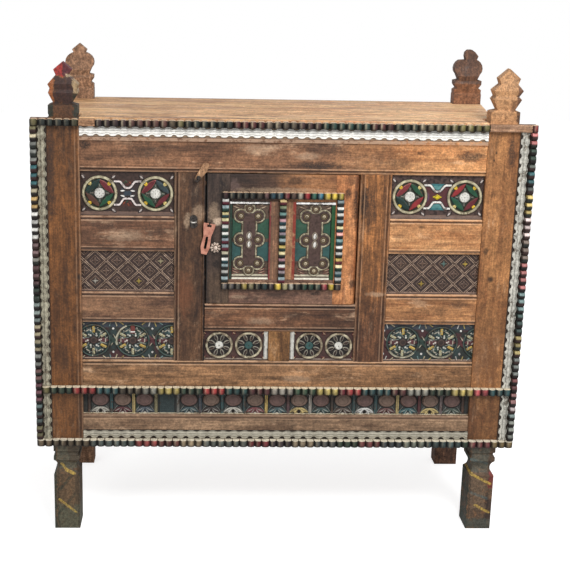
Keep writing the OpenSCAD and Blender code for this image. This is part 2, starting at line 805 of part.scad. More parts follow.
module door_top_rail() color(wood_red)
    door_rail([panel_z[1], door_z[1]], [panel_z[1] - overlap, panel_z[1] + door_groove]);
module door_bottom_rail() color(wood_red)
    door_rail([door_z[0], panel_z[0]], [panel_z[0] - door_groove, panel_z[0] + overlap]);

module door_muntin() color(wood_gold) {
    x = door_muntin_w / 2;
    difference() {
        block([-x, x], [rail_face, door_back], panel_z);
        both_sides() door_mortise([x - door_groove, x + overlap], [panel_z[0] - 1, panel_z[1] + 1]);
    }
    t = x - door_groove - 2;
    door_tenon([-t, t], [panel_z[0] - door_groove + end_play, panel_z[0] + overlap]);
    door_tenon([-t, t], [panel_z[1] - overlap, panel_z[1] + door_groove - end_play]);
}

// Batten nailed behind the stile, on which the door shuts; it stays below the eye's washer
module door_stop() color(wood_red)
    block([-stile_in - stop_w / 2, -stile_in + stop_w / 2], [rail_back, rail_back + stop_w / 2],
        [sill_top + shoulder, eye_z - 2 * stop_w]);

// Knotwork of lobes along an upright band; grow widens it for the rim
module knot_2d(grow) {
    for (p = knot_lobes) translate(p) circle(r = knot_lobe_r + grow);
    for (p = knot_ends) translate(p) circle(r = knot_end_r + grow);
    square([knot_band + 2 * grow, 2 * knot_pitch], center = true);
}
knot_lobes = [for (row = [-1, 0, 1], s = [-1, 1]) [s * knot_side, row * knot_pitch]];
knot_ends = [for (s = [-1, 1]) [0, s * (knot_pitch + knot_lobe_r + knot_end_gap)]];

// One door panel, at the right of the muntin
module door_panel() color(wood_dark) {
    x = [door_muntin_w / 2, panel_x_out];
    g = door_groove - end_play;
    block([x[0] - g, x[1] + g], [door_panel_face, door_panel_face + door_panel_t],
        [panel_z[0] - g, panel_z[1] + g]);
    translate([(x[0] + x[1]) / 2, door_panel_face + overlap, (panel_z[0] + panel_z[1]) / 2]) {
        carve(0, relief / 2) knot_2d(0);
        carve(0, relief / 2 + 1) difference() {
            knot_2d(knot_rim);
            knot_2d(0);
        }
        for (p = concat(knot_lobes, knot_ends)) translate([p[0], -relief / 2 + overlap, p[1]])
            rotate([90, 0, 0]) cylinder(r1 = 0.4 * knot_lobe_r, r2 = 0.25 * knot_lobe_r, h = knot_button_h);
    }
}

door_bead_x = panel_x_out + door_bead_gap_x + door_bead_w;
door_bead_z = [panel_z[0] - door_bead_gap_z - door_bead_w, panel_z[1] + door_bead_gap_z + door_bead_w];

module door_lobed_frame() color(paint_teal) {
    inner_h = door_bead_z[1] - door_bead_z[0] - 2 * door_bead_w;
    for (z = [door_bead_z[0], door_bead_z[1] - door_bead_w]) translate([0, 0, z])
        level_lobes(2 * door_bead_x, door_bead_w, rail_face, door_lobe_pitch, door_lobe_out);
    both_sides() translate([door_bead_x - door_bead_w / 2, 0, door_bead_z[0] + door_bead_w + fit])
        upright_lobes(inner_h - 2 * fit, door_bead_w, rail_face, door_lobe_pitch, door_lobe_out);
}

module door_lobed_centre() color(paint_teal)
    translate([0, 0, door_bead_z[0] + door_bead_w + fit])
        upright_lobes(door_bead_z[1] - door_bead_z[0] - 2 * door_bead_w - 2 * fit, door_bead_w, rail_face,
            door_lobe_pitch, door_lobe_out);

// Ironwork

eye_x = -door_in + eye_in;
eye_z = sill_top + eye_up;
eye_y = rail_face - eye_r - eye_wire_r - 0.5;
lock_reach = 41;
slot_w = 6.4;
slot_from = 33;
slot_to = 66;
boss_shank_r = 2.5;
boss_out = 9;
boss_drop = 62;
hasp_tail_w = 24;
hasp_top = 1.5;
hasp_toe_h = 18;
hasp_toe_cut = 5;
hasp_eye_slot_w = 11;

module at_eye() translate([eye_x, rail_face, eye_z]) children();

// The eye's frame, leaning as the hasp does, with its origin on the lifting axis
module at_hasp() translate([eye_x, eye_y, eye_z]) rotate([0, hasp_lean, 0]) children();

// Split pin with a ring, which passes through the door and is riveted over a washer
module hasp_eye_pin() color(iron) at_hasp() {
    back = door_back - eye_y;
    rotate([0, 90, 0]) rotate_extrude() translate([eye_r, 0]) circle(r = eye_wire_r);
    translate([0, eye_r, 0]) rotate([-90, 0, 0]) cylinder(r = shank_r, h = back + 2 - eye_r);
    translate([0, back + 0.1, 0]) rotate([-90, 0, 0]) cylinder(r = 3 * shank_r, h = 1.6);
}

// Half outline of the hasp from its top edge down to its toe: half width and height
hasp_half = [[hasp_w / 2, hasp_top], [hasp_w / 2 - 1, -hasp_w / 3], [hasp_tail_w / 2 - 2, -0.4 * hasp_len],
    [hasp_tail_w / 2, hasp_toe_h - hasp_len], [hasp_tail_w / 2 - hasp_toe_cut, -hasp_len]];

// Flat hasp: a bar through the ring, a slot for the staple, and a waist
module hasp() color(copper) at_hasp() carve(hasp_t / 2, hasp_t) difference() {
    ring_end = eye_r + eye_wire_r + 1;
    polygon(concat(hasp_half, [for (p = reversed(hasp_half)) [-p[0], p[1]]]));
    translate([0, -(hasp_top + ring_end) / 2 - 0.5])
        square([hasp_eye_slot_w, ring_end - hasp_top + 0.5], center = true);
    translate([0, -(slot_from + slot_to) / 2]) square([slot_w, slot_to - slot_from - slot_w], center = true);
    for (v = [slot_from + slot_w / 2, slot_to - slot_w / 2]) translate([0, -v]) circle(r = slot_w / 2);
}

// The hasp's right edge at the height of the boss, where it leans on it
boss_x = eye_x - boss_drop * tan(hasp_lean) + hasp_tail_w / 2 / cos(hasp_lean) + boss_r + seat;

module at_boss() translate([boss_x, rail_face, eye_z - boss_drop]) children();

// Domed flower of eight petals, nailed through the door
module rosette_boss() color(copper) at_boss() rotate([90, 0, 0]) {
    petal_r = 0.34 * boss_r;
    linear_extrude(0.6 * boss_out) union() {
        circle(r = 0.75 * boss_r);
        for (i = [0 : 7]) rotate(i * 45) translate([boss_r - petal_r, 0]) circle(r = petal_r);
    }
    translate([0, 0, 0.5 * boss_out]) cylinder(r1 = 0.6 * boss_r, r2 = 0.3 * boss_r, h = 0.5 * boss_out);
    translate([0, 0, -door_t]) cylinder(r = boss_shank_r, h = door_t + overlap);
}

staple_x = eye_x - lock_reach;
staple_z = eye_z + 5;
staple_out = 13;
staple_in = 22;
plate_t = 1.5;
plate_r = 10;
plate_spread = 7;

module at_staple() translate([staple_x, rail_face, staple_z]) children();

module staple_holes() at_staple() for (s = [-1, 1]) translate([s * staple_half, 0, 0])
    rotate([90, 0, 0]) cylinder(r = staple_wire_r + pin_fit, h = 2 * staple_in + 2, center = true);

// U staple that a padlock goes through, with its legs driven into the stile
module lock_staple() color(iron) at_staple() {
    for (s = [-1, 1]) translate([s * staple_half, staple_in, 0]) rotate([90, 0, 0])
        cylinder(r = staple_wire_r, h = staple_in + staple_out - staple_half);
    translate([0, staple_half - staple_out, 0]) rotate([0, 0, 180]) rotate_extrude(angle = 180)
        translate([staple_half, 0]) circle(r = staple_wire_r);
}

module staple_plate() color(iron) at_staple() carve(-0.1, plate_t) difference() {
    union() {
        square([2 * plate_r, 2 * plate_spread], center = true);
        for (s = [-1, 1]) translate([0, s * plate_spread]) circle(r = plate_r);
    }
    for (s = [-1, 1]) translate([s * staple_half, 0]) circle(r = staple_wire_r + pin_fit);
}

button_x = -stile_in - stile_w / 4;
button_z = top_rail_z - 11;
button_tail = 13;

module at_button() translate([button_x, rail_face - 0.5, button_z]) children();

// A whittled stick, wide at its upper end
module turn_button() color(wood_gold) at_button() rotate([0, button_lean, 0]) carve(0, button_t) difference() {
    end = button_l - button_tail;
    polygon([[-0.32 * button_w, -button_tail], [0.32 * button_w, -button_tail], [0.5 * button_w, 0.5 * end],
        [0.46 * button_w, end - 4], [0.24 * button_w, end], [-0.3 * button_w, end],
        [-0.5 * button_w, end - 6], [-0.44 * button_w, 0.3 * end]]);
    circle(r = nail_r + pin_fit);
}

module button_nail_hole() at_button()
    rotate([90, 0, 0]) cylinder(r = nail_r + pin_fit, h = 2 * rail_t - 12, center = true);

module turn_button_nail() color(iron) at_button() {
    translate([0, rail_t - 8, 0]) rotate([90, 0, 0]) cylinder(r = nail_r, h = rail_t - 8 + button_t + 1);
    translate([0, -button_t - 0.3, 0]) rotate([90, 0, 0]) cylinder(r1 = 2.4 * nail_r, r2 = 1.5 * nail_r, h = 2);
}

// Carcass

// One side's rails, at the right, between the front and back posts
module side_rails() for (z = back_rail_levels) difference() {
    union() {
        block([side_rail_x, side_rail_x + rail_t], [front_post_back, back_post_face], [z, z + carcass_rail_h]);
        block([side_tenon_x, side_tenon_x + panel_t], [front_post_back - tenon, back_post_face + tenon],
            [z + shoulder, z + carcass_rail_h - shoulder]);
    }
    side_board_space(plank_t + 2 * fit, -fit,
        [back_rail_levels[0] + carcass_rail_h - groove_d, back_rail_levels[1] + groove_d]);
    floor_groove_side();
}

module side_board_space(t, y_more, z)
    block([side_rail_x + (rail_t - t) / 2, side_rail_x + (rail_t + t) / 2],
        [front_post_back - y_more, back_post_face + y_more], z);

module floor_groove_side()
    block([side_rail_x - overlap, side_rail_x + shoulder], [post_face, back_face],
        [floor_z - fit, floor_z + floor_t + fit]);

// Level planks that fill one side between its rails
module side_planks() {
    z0 = back_rail_levels[0] + carcass_rail_h - groove_d + end_play;
    z1 = back_rail_levels[1] + groove_d - end_play;
    step = (z1 - z0) / 4;
    for (i = [0 : 3])
        side_board_space(plank_t, -end_play, [z0 + i * step + plank_gap / 2, z0 + (i + 1) * step - plank_gap / 2]);
}

module back_rails() color(wood_red) for (z = back_rail_levels) difference() {
    union() {
        block([-post_in, post_in], [back_rail_y, back_rail_y + rail_t], [z, z + carcass_rail_h]);
        block([-post_in - post_tenon, post_in + post_tenon],
            [back_rail_y + panel_set, back_rail_y + panel_set + panel_t],
            [z + shoulder, z + carcass_rail_h - shoulder]);
    }
    y0 = back_rail_y + back_plank_set;
    block([-post_out, post_out], [y0, y0 + plank_t + 2 * fit],
        [back_rail_levels[0] + carcass_rail_h - groove_d, back_rail_levels[1] + groove_d]);
    floor_groove(back_rail_y - overlap, back_rail_y + shoulder);
}

module back_planks() color(wood_gold) {
    y0 = back_rail_y + back_plank_set + fit;
    z0 = back_rail_levels[0] + carcass_rail_h - groove_d + end_play;
    z1 = back_rail_levels[1] + groove_d - end_play;
    step = (z1 - z0) / 4;
    for (i = [0 : 3])
        block([-post_in + end_play, post_in - end_play], [y0, y0 + plank_t],
            [z0 + i * step + plank_gap / 2, z0 + (i + 1) * step - plank_gap / 2]);
}

// Plan of the four posts, a little larger all round, to notch boards by
module post_notches(play) for (s = [-1, 1]) {
    translate([s * post_out, post_face + front_post_d / 2])
        square([2 * (post_w + play), front_post_d + 2 * play], center = true);
    translate([s * post_out, back_face - back_post_d / 2])
        square([2 * (post_w + play), back_post_d + 2 * play], center = true);
}

// Outline of the whole top, notched round the posts; its right end was sawn askew
module top_outline() difference() {
    polygon([[-post_out, post_face + end_play], [post_out - top_skew, post_face + end_play],
        [post_out - top_skew, front_post_back], [post_out, back_post_face], [post_out, back_face],
        [-post_out, back_face]]);
    post_notches(fit);
}

module top_planks() color(wood_gold) {
    step = case_d / 3;
    for (i = [0 : 2]) translate([0, 0, top_under]) linear_extrude(top_t) intersection() {
        top_outline();
        translate([-post_out, post_face + i * step + plank_gap / 2]) square([2 * post_out, step - plank_gap]);
    }
}

module floor_planks() color(wood_red) {
    n = 7;
    x = side_rail_x + shoulder - end_play;
    step = 2 * x / n;
    for (i = [0 : n - 1]) difference() {
        block([-x + i * step + plank_gap / 2, -x + (i + 1) * step - plank_gap / 2],
            [rail_back - shoulder + end_play, back_rail_y + shoulder - end_play], [floor_z, floor_z + floor_t]);
        translate([0, 0, floor_z - 1]) linear_extrude(floor_t + 2) post_notches(0.5);
    }
}

color(wood_red) mirror([1, 0, 0]) front_post(left_finial);  // post_front_left
color(wood_gold) front_post(right_finial);  // post_front_right
color(wood_red) mirror([1, 0, 0]) back_post(back_finial_left);  // post_back_left
color(wood_red) back_post(back_finial_right);  // post_back_right
top_rail();
bottom_rail();
base_rail();
door_sill_rail();
inner_stile_left();
color(wood_gold) inner_stile();  // inner_stile_right
lower_muntin();
color(wood_red) mirror([1, 0, 0]) column_rail(upper_rail_z, upper_rail_h);  // upper_rail_left
color(wood_gold) column_rail(upper_rail_z, upper_rail_h);  // upper_rail_right
color(wood_red) mirror([1, 0, 0]) column_rail(lower_rail_z, lower_rail_h);  // lower_rail_left
color(wood_gold) column_rail(lower_rail_z, lower_rail_h);  // lower_rail_right
mirror([1, 0, 0]) wheel_panel();  // wheel_panel_left
wheel_panel();  // wheel_panel_right
mirror([1, 0, 0]) lattice_panel();  // lattice_panel_left
lattice_panel();  // lattice_panel_right
mirror([1, 0, 0]) rosette_panel(-rosette_row_left);  // rosette_panel_left
rosette_panel(rosette_row_right);  // rosette_panel_right
mirror([1, 0, 0]) disc_panel();  // disc_panel_left
disc_panel();  // disc_panel_right
frieze_panel();
color(wood_red) mirror([1, 0, 0]) wing_board();  // wing_board_left
color(wood_red) wing_board();  // wing_board_right
color(paint_white) mirror([1, 0, 0]) scallop_strip();  // scallop_strip_left
color(paint_white) scallop_strip();  // scallop_strip_right
level_scallops(2 * post_in - 1, top_moulding_h, rail_face, top_moulding_z);  // top_scallop_moulding
level_scallops(2 * post_in - 1, apron_moulding_h, rail_face, apron_z);  // apron_scallop_moulding
top_strip();  // lobed_strip_top
lobed_strip(wing_out - side_bead_w - 1, middle_bead_z);  // lobed_strip_middle
lobed_strip(wing_out, leg_h);  // lobed_strip_bottom
color(paint_teal) mirror([1, 0, 0]) lobed_strip_side();  // lobed_strip_left
color(paint_teal) lobed_strip_side();  // lobed_strip_right
door_hinge_stile();
door_lock_stile();
door_top_rail();
door_bottom_rail();
door_muntin();
mirror([1, 0, 0]) door_panel();  // door_panel_left
door_panel();  // door_panel_right
door_lobed_frame();
door_lobed_centre();
door_stop();
hasp();
hasp_eye_pin();
lock_staple();
staple_plate();
rosette_boss();
turn_button();
turn_button_nail();
color(wood_red) mirror([1, 0, 0]) side_rails();  // side_rails_left
color(wood_red) side_rails();  // side_rails_right
color(wood_gold) mirror([1, 0, 0]) side_planks();  // side_planks_left
color(wood_gold) side_planks();  // side_planks_right
back_rails();
back_planks();
top_planks();
floor_planks();
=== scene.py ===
# %% [markdown]
# # A painted dowry cabinet
# This lesson dresses a measured cabinet: a framed front on four tall posts, small carved and
# painted panels, a door hung on wooden pins, and borders of little painted lobes.
# The measured model gives every timber its place. We start by loading it and keep it unmoved.

import bpy
import numpy as np
from mathutils import Matrix, Vector


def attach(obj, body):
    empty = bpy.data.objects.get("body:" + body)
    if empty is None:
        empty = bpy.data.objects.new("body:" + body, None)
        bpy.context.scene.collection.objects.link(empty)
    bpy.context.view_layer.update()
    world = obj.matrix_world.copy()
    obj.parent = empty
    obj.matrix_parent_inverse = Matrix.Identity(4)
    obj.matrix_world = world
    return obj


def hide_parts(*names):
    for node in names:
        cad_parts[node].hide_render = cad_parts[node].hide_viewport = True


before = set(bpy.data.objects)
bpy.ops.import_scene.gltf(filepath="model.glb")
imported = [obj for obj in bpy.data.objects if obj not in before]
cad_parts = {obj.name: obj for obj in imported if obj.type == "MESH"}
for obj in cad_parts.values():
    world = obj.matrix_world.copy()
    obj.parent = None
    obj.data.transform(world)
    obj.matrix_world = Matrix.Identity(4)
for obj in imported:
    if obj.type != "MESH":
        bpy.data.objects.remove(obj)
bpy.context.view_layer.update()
MM = 0.001

# %% [markdown]
# ## Camera
# The photograph was taken from a little left of the middle, at about the height of a raised hand,
# looking slightly down. The frame keeps the picture's own offset, so the lens is shifted a little.

# %% Camera
LENS_MM, SENSOR_MM = 72.95, 36.0
SHIFT_X, SHIFT_Y = 0.0807, -0.0386
EYE, YAW, PITCH, ROLL = (-0.222, -3.106, 1.472), 2.24, 14.16, 1.12
camera_data = bpy.data.cameras.new("camera")
camera_data.lens, camera_data.sensor_width = LENS_MM, SENSOR_MM
camera_data.shift_x, camera_data.shift_y = SHIFT_X, SHIFT_Y
camera = bpy.data.objects.new("camera", camera_data)
bpy.context.scene.collection.objects.link(camera)


def aimed(place, yaw, pitch, roll):
    """The camera's matrix: it looks along +Y, turned by yaw towards +X and by pitch downwards, then rolled."""
    yaw, pitch, roll = np.radians([yaw, pitch, roll])
    ahead = Vector((np.sin(yaw) * np.cos(pitch), np.cos(yaw) * np.cos(pitch), -np.sin(pitch)))
    right = Vector((np.cos(yaw), -np.sin(yaw), 0.0))
    up = right.cross(ahead)
    across = np.cos(roll) * right + np.sin(roll) * up
    above = -np.sin(roll) * right + np.cos(roll) * up
    turn = Matrix((across, above, -ahead)).transposed().to_4x4()
    return Matrix.Translation(place) @ turn


camera.matrix_world = aimed(EYE, YAW, PITCH, ROLL)
bpy.context.scene.camera = camera
bpy.context.scene.view_settings.view_transform = "Standard"
print("camera at", tuple(round(c, 3) for c in camera.location))

# %% [markdown]
# ## Colours
# Colours are written as they look on a screen, 0 to 255, and are turned into linear light where
# they are used. The paints are the earth and mineral colours of village furniture.

# %% Paints
CREAM, CHALK, OLD_CREAM, OLD_WHITE = (205, 190, 150), (206, 204, 196), (192, 184, 154), (224, 220, 214)
TEAL, PALE_TEAL, GREEN, DARK_GREEN = (38, 92, 96), (120, 158, 158), (30, 72, 50), (28, 44, 38)
MAROON, PINK, YELLOW, BROWN = (92, 34, 40), (190, 112, 106), (216, 178, 52), (78, 52, 40)
SOOT, SLATE, GREY, UMBER = (26, 21, 20), (66, 80, 92), (120, 122, 114), (48, 33, 27)


def tint(colour):
    """Screen colour (0 to 255) to linear light: ((c + 0.055) / 1.055) ** 2.4, or c / 12.92 near black."""
    c = np.array(colour) / 255.0
    linear = np.where(c <= 0.04045, c / 12.92, ((c + 0.055) / 1.055) ** 2.4)
    return tuple(float(part) for part in linear)


print("chalk in linear light:", tuple(round(part, 3) for part in tint(CHALK)))

# %% [markdown]
# ## Helpers for shader nodes
# Every finish below is a small network of nodes. The class places a node, sets its values and
# joins its sockets, so that each material reads as a list of steps.

# %% Node helpers
FLOAT, COLOUR, VECTOR = "NodeSocketFloat", "NodeSocketColor", "NodeSocketVector"


def as_light(colour):
    """A colour for a socket: another socket as it is, or a screen colour in linear light."""
    return colour if isinstance(colour, bpy.types.NodeSocket) else (*tint(colour), 1.0)


class Net:
    """A network of shader nodes; each method adds a node and gives its result."""

    def __init__(self, tree):
        self.tree = tree

    def put(self, kind, values=None, **settings):
        """Adds one node, with its settings, and joins or sets its input sockets from a dict of socket to value."""
        made = self.tree.nodes.new("ShaderNode" + kind)
        for name, value in settings.items():
            setattr(made, name, value)
        for socket, value in (values or {}).items():
            if isinstance(value, bpy.types.NodeSocket):
                self.tree.links.new(value, made.inputs[socket])
            else:
                made.inputs[socket].default_value = value
        return made

    def number(self, operation, a, b=0.0, c=0.0):
        """One number from two or three by the named operation."""
        return self.put("Math", {0: a, 1: b, 2: c}, operation=operation).outputs[0]

    def times(self, a, b):
        """a * b"""
        return self.number("MULTIPLY", a, b)

    def times_plus(self, a, b, c):
        """a * b + c"""
        return self.number("MULTIPLY_ADD", a, b, c)

    def minus(self, a, b):
        """a - b"""
        return self.number("SUBTRACT", a, b)

    def most(self, a, b):
        """The larger of two"""
        return self.number("MAXIMUM", a, b)

    def vector(self, operation, *values, output=0):
        """A vector, or with output="Value" a number, from vectors by the named operation."""
        return self.put("VectorMath", dict(enumerate(values)), operation=operation).outputs[output]

    def spread(self, value, low, high, to_low=0.0, to_high=1.0):
        """A number moved from the range low..high to another range, with soft ends and clamped."""
        return self.put("MapRange", {0: value, 1: low, 2: high, 3: to_low, 4: to_high},
                        interpolation_type="SMOOTHSTEP").outputs[0]

    def blend(self, share, first, second, how="MIX"):
        """Colour between first and second by share; a colour is a socket or a screen colour."""
        return self.put("Mix", {0: share, 6: as_light(first), 7: as_light(second)},
                        data_type="RGBA", blend_type=how).outputs[2]

    def lay(self, mask, cover, colour, tone):
        """A tone laid over a colour where the mask is 1, as thick as its cover."""
        return self.blend(self.times(mask, cover), colour, tone)

    def shaded(self, colour, value, share=1.0):
        """A colour times a grey value, as far as share says."""
        grey = self.put("CombineColor", {0: value, 1: value, 2: value}).outputs[0]
        return self.blend(share, colour, grey, "MULTIPLY")

    def noise(self, place, scale, detail=4.0, rough=0.55, twist=0.0):
        """Value of cloudy noise at a place, from 0 to 1."""
        return self.put("TexNoise", {"Vector": place, "Scale": scale, "Detail": detail,
                                     "Roughness": rough, "Distortion": twist}).outputs[0]

    def ramp(self, value, stops):
        """A number read off a line through (place, height) stops."""
        made = self.put("ValToRGB", {0: value})
        line = made.color_ramp
        while len(line.elements) < len(stops):
            line.elements.new(0.5)
        for element, (place, height) in zip(line.elements, stops):
            element.position = place
            element.color = (height, height, height, 1.0)
        return made.outputs[0]

    def group(self, group, values):
        """Places a node group and joins or sets its inputs."""
        return self.put("Group", values, node_tree=group).outputs


def new_group(name, inputs, outputs):
    """An empty node group with its sockets: its network, its inputs by name and a function that ends it."""
    tree = bpy.data.node_groups.new(name, "ShaderNodeTree")
    for socket, kind, value in inputs:
        made = tree.interface.new_socket(socket, in_out="INPUT", socket_type=kind)
        if value is not None:
            made.default_value = value
    for socket, kind in outputs:
        tree.interface.new_socket(socket, in_out="OUTPUT", socket_type=kind)
    start = tree.nodes.new("NodeGroupInput")
    end = tree.nodes.new("NodeGroupOutput")

    def give(results):
        for socket, value in results.items():
            tree.links.new(value, end.inputs[socket])
        print("group", name, "with", len(tree.nodes), "nodes")
        return tree

    return Net(tree), start.outputs, give


print("helpers ready")

# %% [markdown]
# ## Old wood
# The timbers are a century of handling: long grain, darker bands where the plank was near the
# heart, soot and oil in ragged patches, and pale fibres where hands and cloths have rubbed. Grain
# is noise that is squeezed across the plank and stretched along it, and stains are noise that is
# stretched only a little. One group serves every timber, which gives it two tones and its own grain.

# %% Old wood group
net, given, give = new_group(
    "old_wood",
    [("Grain", VECTOR, None), ("Place", VECTOR, None), ("Light", COLOUR, (0.3, 0.16, 0.08, 1)),
     ("Dark", COLOUR, (0.06, 0.03, 0.02, 1)), ("Dirt", COLOUR, (0.02, 0.014, 0.011, 1)),
     ("Lines", FLOAT, 0.5), ("Patches", FLOAT, 0.5), ("Rubbed", FLOAT, 0.4)],
    [("Color", COLOUR), ("Roughness", FLOAT), ("Height", FLOAT)])
place, grain, light, dark, dirt = (given[name] for name in ("Place", "Grain", "Light", "Dark", "Dirt"))
drawn = net.vector("MULTIPLY_ADD", net.vector("SUBTRACT", place, grain), (0.22, 0.22, 0.22), grain)
bands = net.spread(net.noise(drawn, 24.0, 8.0, 0.7, 0.5), 0.385, 0.615)
streaks = net.spread(net.noise(grain, 75.0, 6.0, 0.65, 0.25), 0.38, 0.62)
lines = net.spread(net.noise(grain, 230.0, 4.0, 0.65), 0.4, 0.6)
fibres = net.noise(grain, 620.0, 2.0, 0.6)
patches = net.spread(net.noise(drawn, 11.0, 7.0, 0.68, 0.7), 0.52, 0.68)
blots = net.spread(net.noise(drawn, 46.0, 5.0, 0.66, 0.4), 0.57, 0.7)
specks = net.spread(net.noise(place, 150.0, 3.0, 0.6), 0.62, 0.72)
rubbed = net.spread(net.noise(drawn, 34.0, 8.0, 0.74, 0.3), 0.53, 0.64)
where_rubbed = net.spread(net.noise(place, 9.0, 4.0, 0.6), 0.44, 0.62)
knots = net.put("TexVoronoi", {"Vector": place, "Scale": 5.0}, feature="F1")
knot_mask = net.spread(knots.outputs["Distance"], 0.02, 0.06, 1.0, 0.0)
wood_colour = net.blend(net.times_plus(bands, 0.62, net.times(streaks, 0.38)), dark, light)
dark_lines = net.times(net.minus(1.0, lines), net.times(given["Lines"], 0.8))
wood_colour = net.blend(dark_lines, wood_colour, net.blend(0.35, dark, dirt))
worn = net.times(net.times(rubbed, where_rubbed), given["Rubbed"])
wood_colour = net.blend(worn, wood_colour, net.blend(0.55, light, (226, 192, 158)))
wood_colour = net.lay(net.most(patches, net.most(blots, specks)), given["Patches"], wood_colour, dirt)
wood_colour = net.lay(knot_mask, 0.85, wood_colour, dirt)
mottle = net.spread(net.noise(place, 52.0, 7.0, 0.72), 0.36, 0.64, 0.75, 1.2)
scratches = net.spread(net.noise(place, 210.0, 4.0, 0.7), 0.34, 0.66, 0.72, 1.27)
height = net.times_plus(lines, 0.6, net.times(fibres, 0.5))
OLD_WOOD = give({"Color": net.shaded(wood_colour, net.times(mottle, scratches)),
                 "Roughness": net.spread(rubbed, 0.0, 1.0, 0.62, 0.44),
                 "Height": net.minus(height, net.times(knot_mask, 0.4))})

# %% [markdown]
# ## Moulded edges
# Rails and stiles were run with a moulding plane: a thin lip, a quirk, and a second rubbed line.
# The solid has the chamfer and the quirk; the group colours them from the distance to the timber's two
# edges: painted shade in the quirk, and bright lines at the lip and the second line, part rubbed wood
# and part painted highlight.

# %% Moulded edge group
EDGE_REACH = 0.02
net, given, give = new_group(
    "moulded_edges",
    [("Across", FLOAT, 0.0), ("Low", FLOAT, 0.0), ("High", FLOAT, 1.0), ("Place", VECTOR, None)],
    [("Lit", FLOAT), ("Shade", FLOAT)])
from_low = net.number("ABSOLUTE", net.minus(given["Across"], given["Low"]))
from_high = net.number("ABSOLUTE", net.minus(given["High"], given["Across"]))
inward = net.number("DIVIDE", net.number("MINIMUM", from_low, from_high), EDGE_REACH)
breaks = net.spread(net.noise(given["Place"], 38.0, 6.0, 0.65), 0.36, 0.52, 0.25, 1.0)
# Lit: bright lines, part rubbed wood and part painted highlight. Shade: painted shade in the quirk.
lit = net.ramp(inward, [(0.0, 1.0), (0.13, 1.0), (0.19, 0.0), (0.47, 0.0), (0.51, 0.75), (0.6, 0.7), (0.68, 0.0)])
shade = net.ramp(inward, [(0.18, 0.0), (0.24, 0.75), (0.33, 1.0), (0.45, 1.0), (0.49, 0.0), (0.7, 0.0), (0.74, 0.4),
                          (0.85, 0.0)])
MOULDED_EDGES = give({"Lit": net.times(lit, breaks), "Shade": shade})

# %% [markdown]
# ## Dressing a timber
# A timber's material squeezes the grain along its length and gives its two tones, which may drift
# from one end to the other where the light has bleached it. The moulded edges get painted shade in
# the quirk and bright lips, part rubbed wood and part painted highlight. Stains and bands of colour come
# on top: old paint, and painted shadow along the door gap. The bump comes from the same grain, so that
# light and colour agree.

# %% Timber material
ALONG = {"x": (0.055, 1.0, 1.0), "y": (1.0, 0.055, 1.0), "z": (1.0, 1.0, 0.055)}
FRONT_FULL, FRONT_NONE = -0.2195, -0.214


class Finish(Net):
    """One material: its shader, and the piece's own places in metres."""

    def __init__(self, name):
        self.material = bpy.data.materials.new(name)
        self.material.use_nodes = True
        super().__init__(self.material.node_tree)
        self.shader = next(node for node in self.tree.nodes if node.type == "BSDF_PRINCIPLED")
        self.place = self.put("TexCoord").outputs["Object"]
        self.parts = dict(zip("xyz", self.put("SeparateXYZ", {0: self.place}).outputs))

    def cloud(self, *shape):
        """Noise at the piece's own places."""
        return self.noise(self.place, *shape)

    def wood(self, grain, light, dark, seed, lines=0.5, patches=0.5, rubbed=0.4, dirt=(30, 21, 17)):
        """The old-wood group, with the grain along x, y or z and shifted by a seed."""
        moved = self.vector("ADD", self.place, (0.37 * seed, 0.71 * seed, 1.13 * seed))
        return self.group(OLD_WOOD, {"Grain": self.vector("MULTIPLY", moved, ALONG[grain]), "Place": moved,
                                     "Light": as_light(light), "Dark": as_light(dark), "Dirt": as_light(dirt),
                                     "Lines": lines, "Patches": patches, "Rubbed": rubbed})

    def drifted(self, axis, start, end, start_tone, end_tone):
        """A tone that changes along an axis from one place to another, with a wandering border."""
        push = self.minus(self.cloud(13.0, 6.0, 0.65), 0.5)
        wander = self.times_plus(push, abs(end - start) * 1.1, self.parts[axis])
        return self.blend(self.spread(wander, start, end), start_tone, end_tone)

    def stain(self, x, z, reach_x, reach_z):
        """1 in the middle of a ragged oval mark, 0 outside: the length of (dx / reach_x, dz / reach_z), pushed
        about by noise."""
        dx = self.number("DIVIDE", self.minus(self.parts["x"], x), reach_x)
        dz = self.number("DIVIDE", self.minus(self.parts["z"], z), reach_z)
        far = self.vector("LENGTH", self.put("CombineXYZ", {0: dx, 1: dz}).outputs[0], output="Value")
        ragged = self.times_plus(self.minus(self.cloud(75.0, 5.0, 0.7), 0.5), 1.5, far)
        broken = self.spread(self.cloud(240.0, 4.0, 0.7), 0.42, 0.56, 0.6, 1.0)
        return self.times(self.spread(ragged, 0.4, 1.05, 1.0, 0.0), broken)

    def band(self, value, low, high, soft=0.002):
        """1 between two places, 0 outside, with soft ends."""
        above = self.spread(value, low - soft, low + soft)
        return self.times(above, self.spread(value, high - soft, high + soft, 1.0, 0.0))

    def edge_shade_and_wear(self, colour, light, axis, low, high, strength=1.0):
        """Lays the moulded edges' painted shade in the quirk and their bright lips, part rubbed wood and part
        painted highlight, over a colour.
        """
        edge = self.group(MOULDED_EDGES, {"Across": self.parts[axis], "Low": low, "High": high, "Place": self.place})
        colour = self.lay(edge["Shade"], 0.74 * strength, colour, (27, 18, 15))
        return self.lay(edge["Lit"], 0.72 * strength, colour, self.blend(0.5, light, (226, 190, 158)))

    def done(self, colour, rough, height, strength=0.35, distance=0.0012, specular=0.35, metallic=0.0):
        """Joins colour, roughness and a bump to the shader, and gives the material."""
        made = self.put("Bump", {"Height": height, "Strength": strength, "Distance": distance})
        for socket, value in (("Base Color", colour), ("Roughness", rough), ("Normal", made.outputs[0])):
            self.tree.links.new(value, self.shader.inputs[socket])
        self.shader.inputs["Specular IOR Level"].default_value = specular
        self.shader.inputs["Metallic"].default_value = metallic
        return self.material


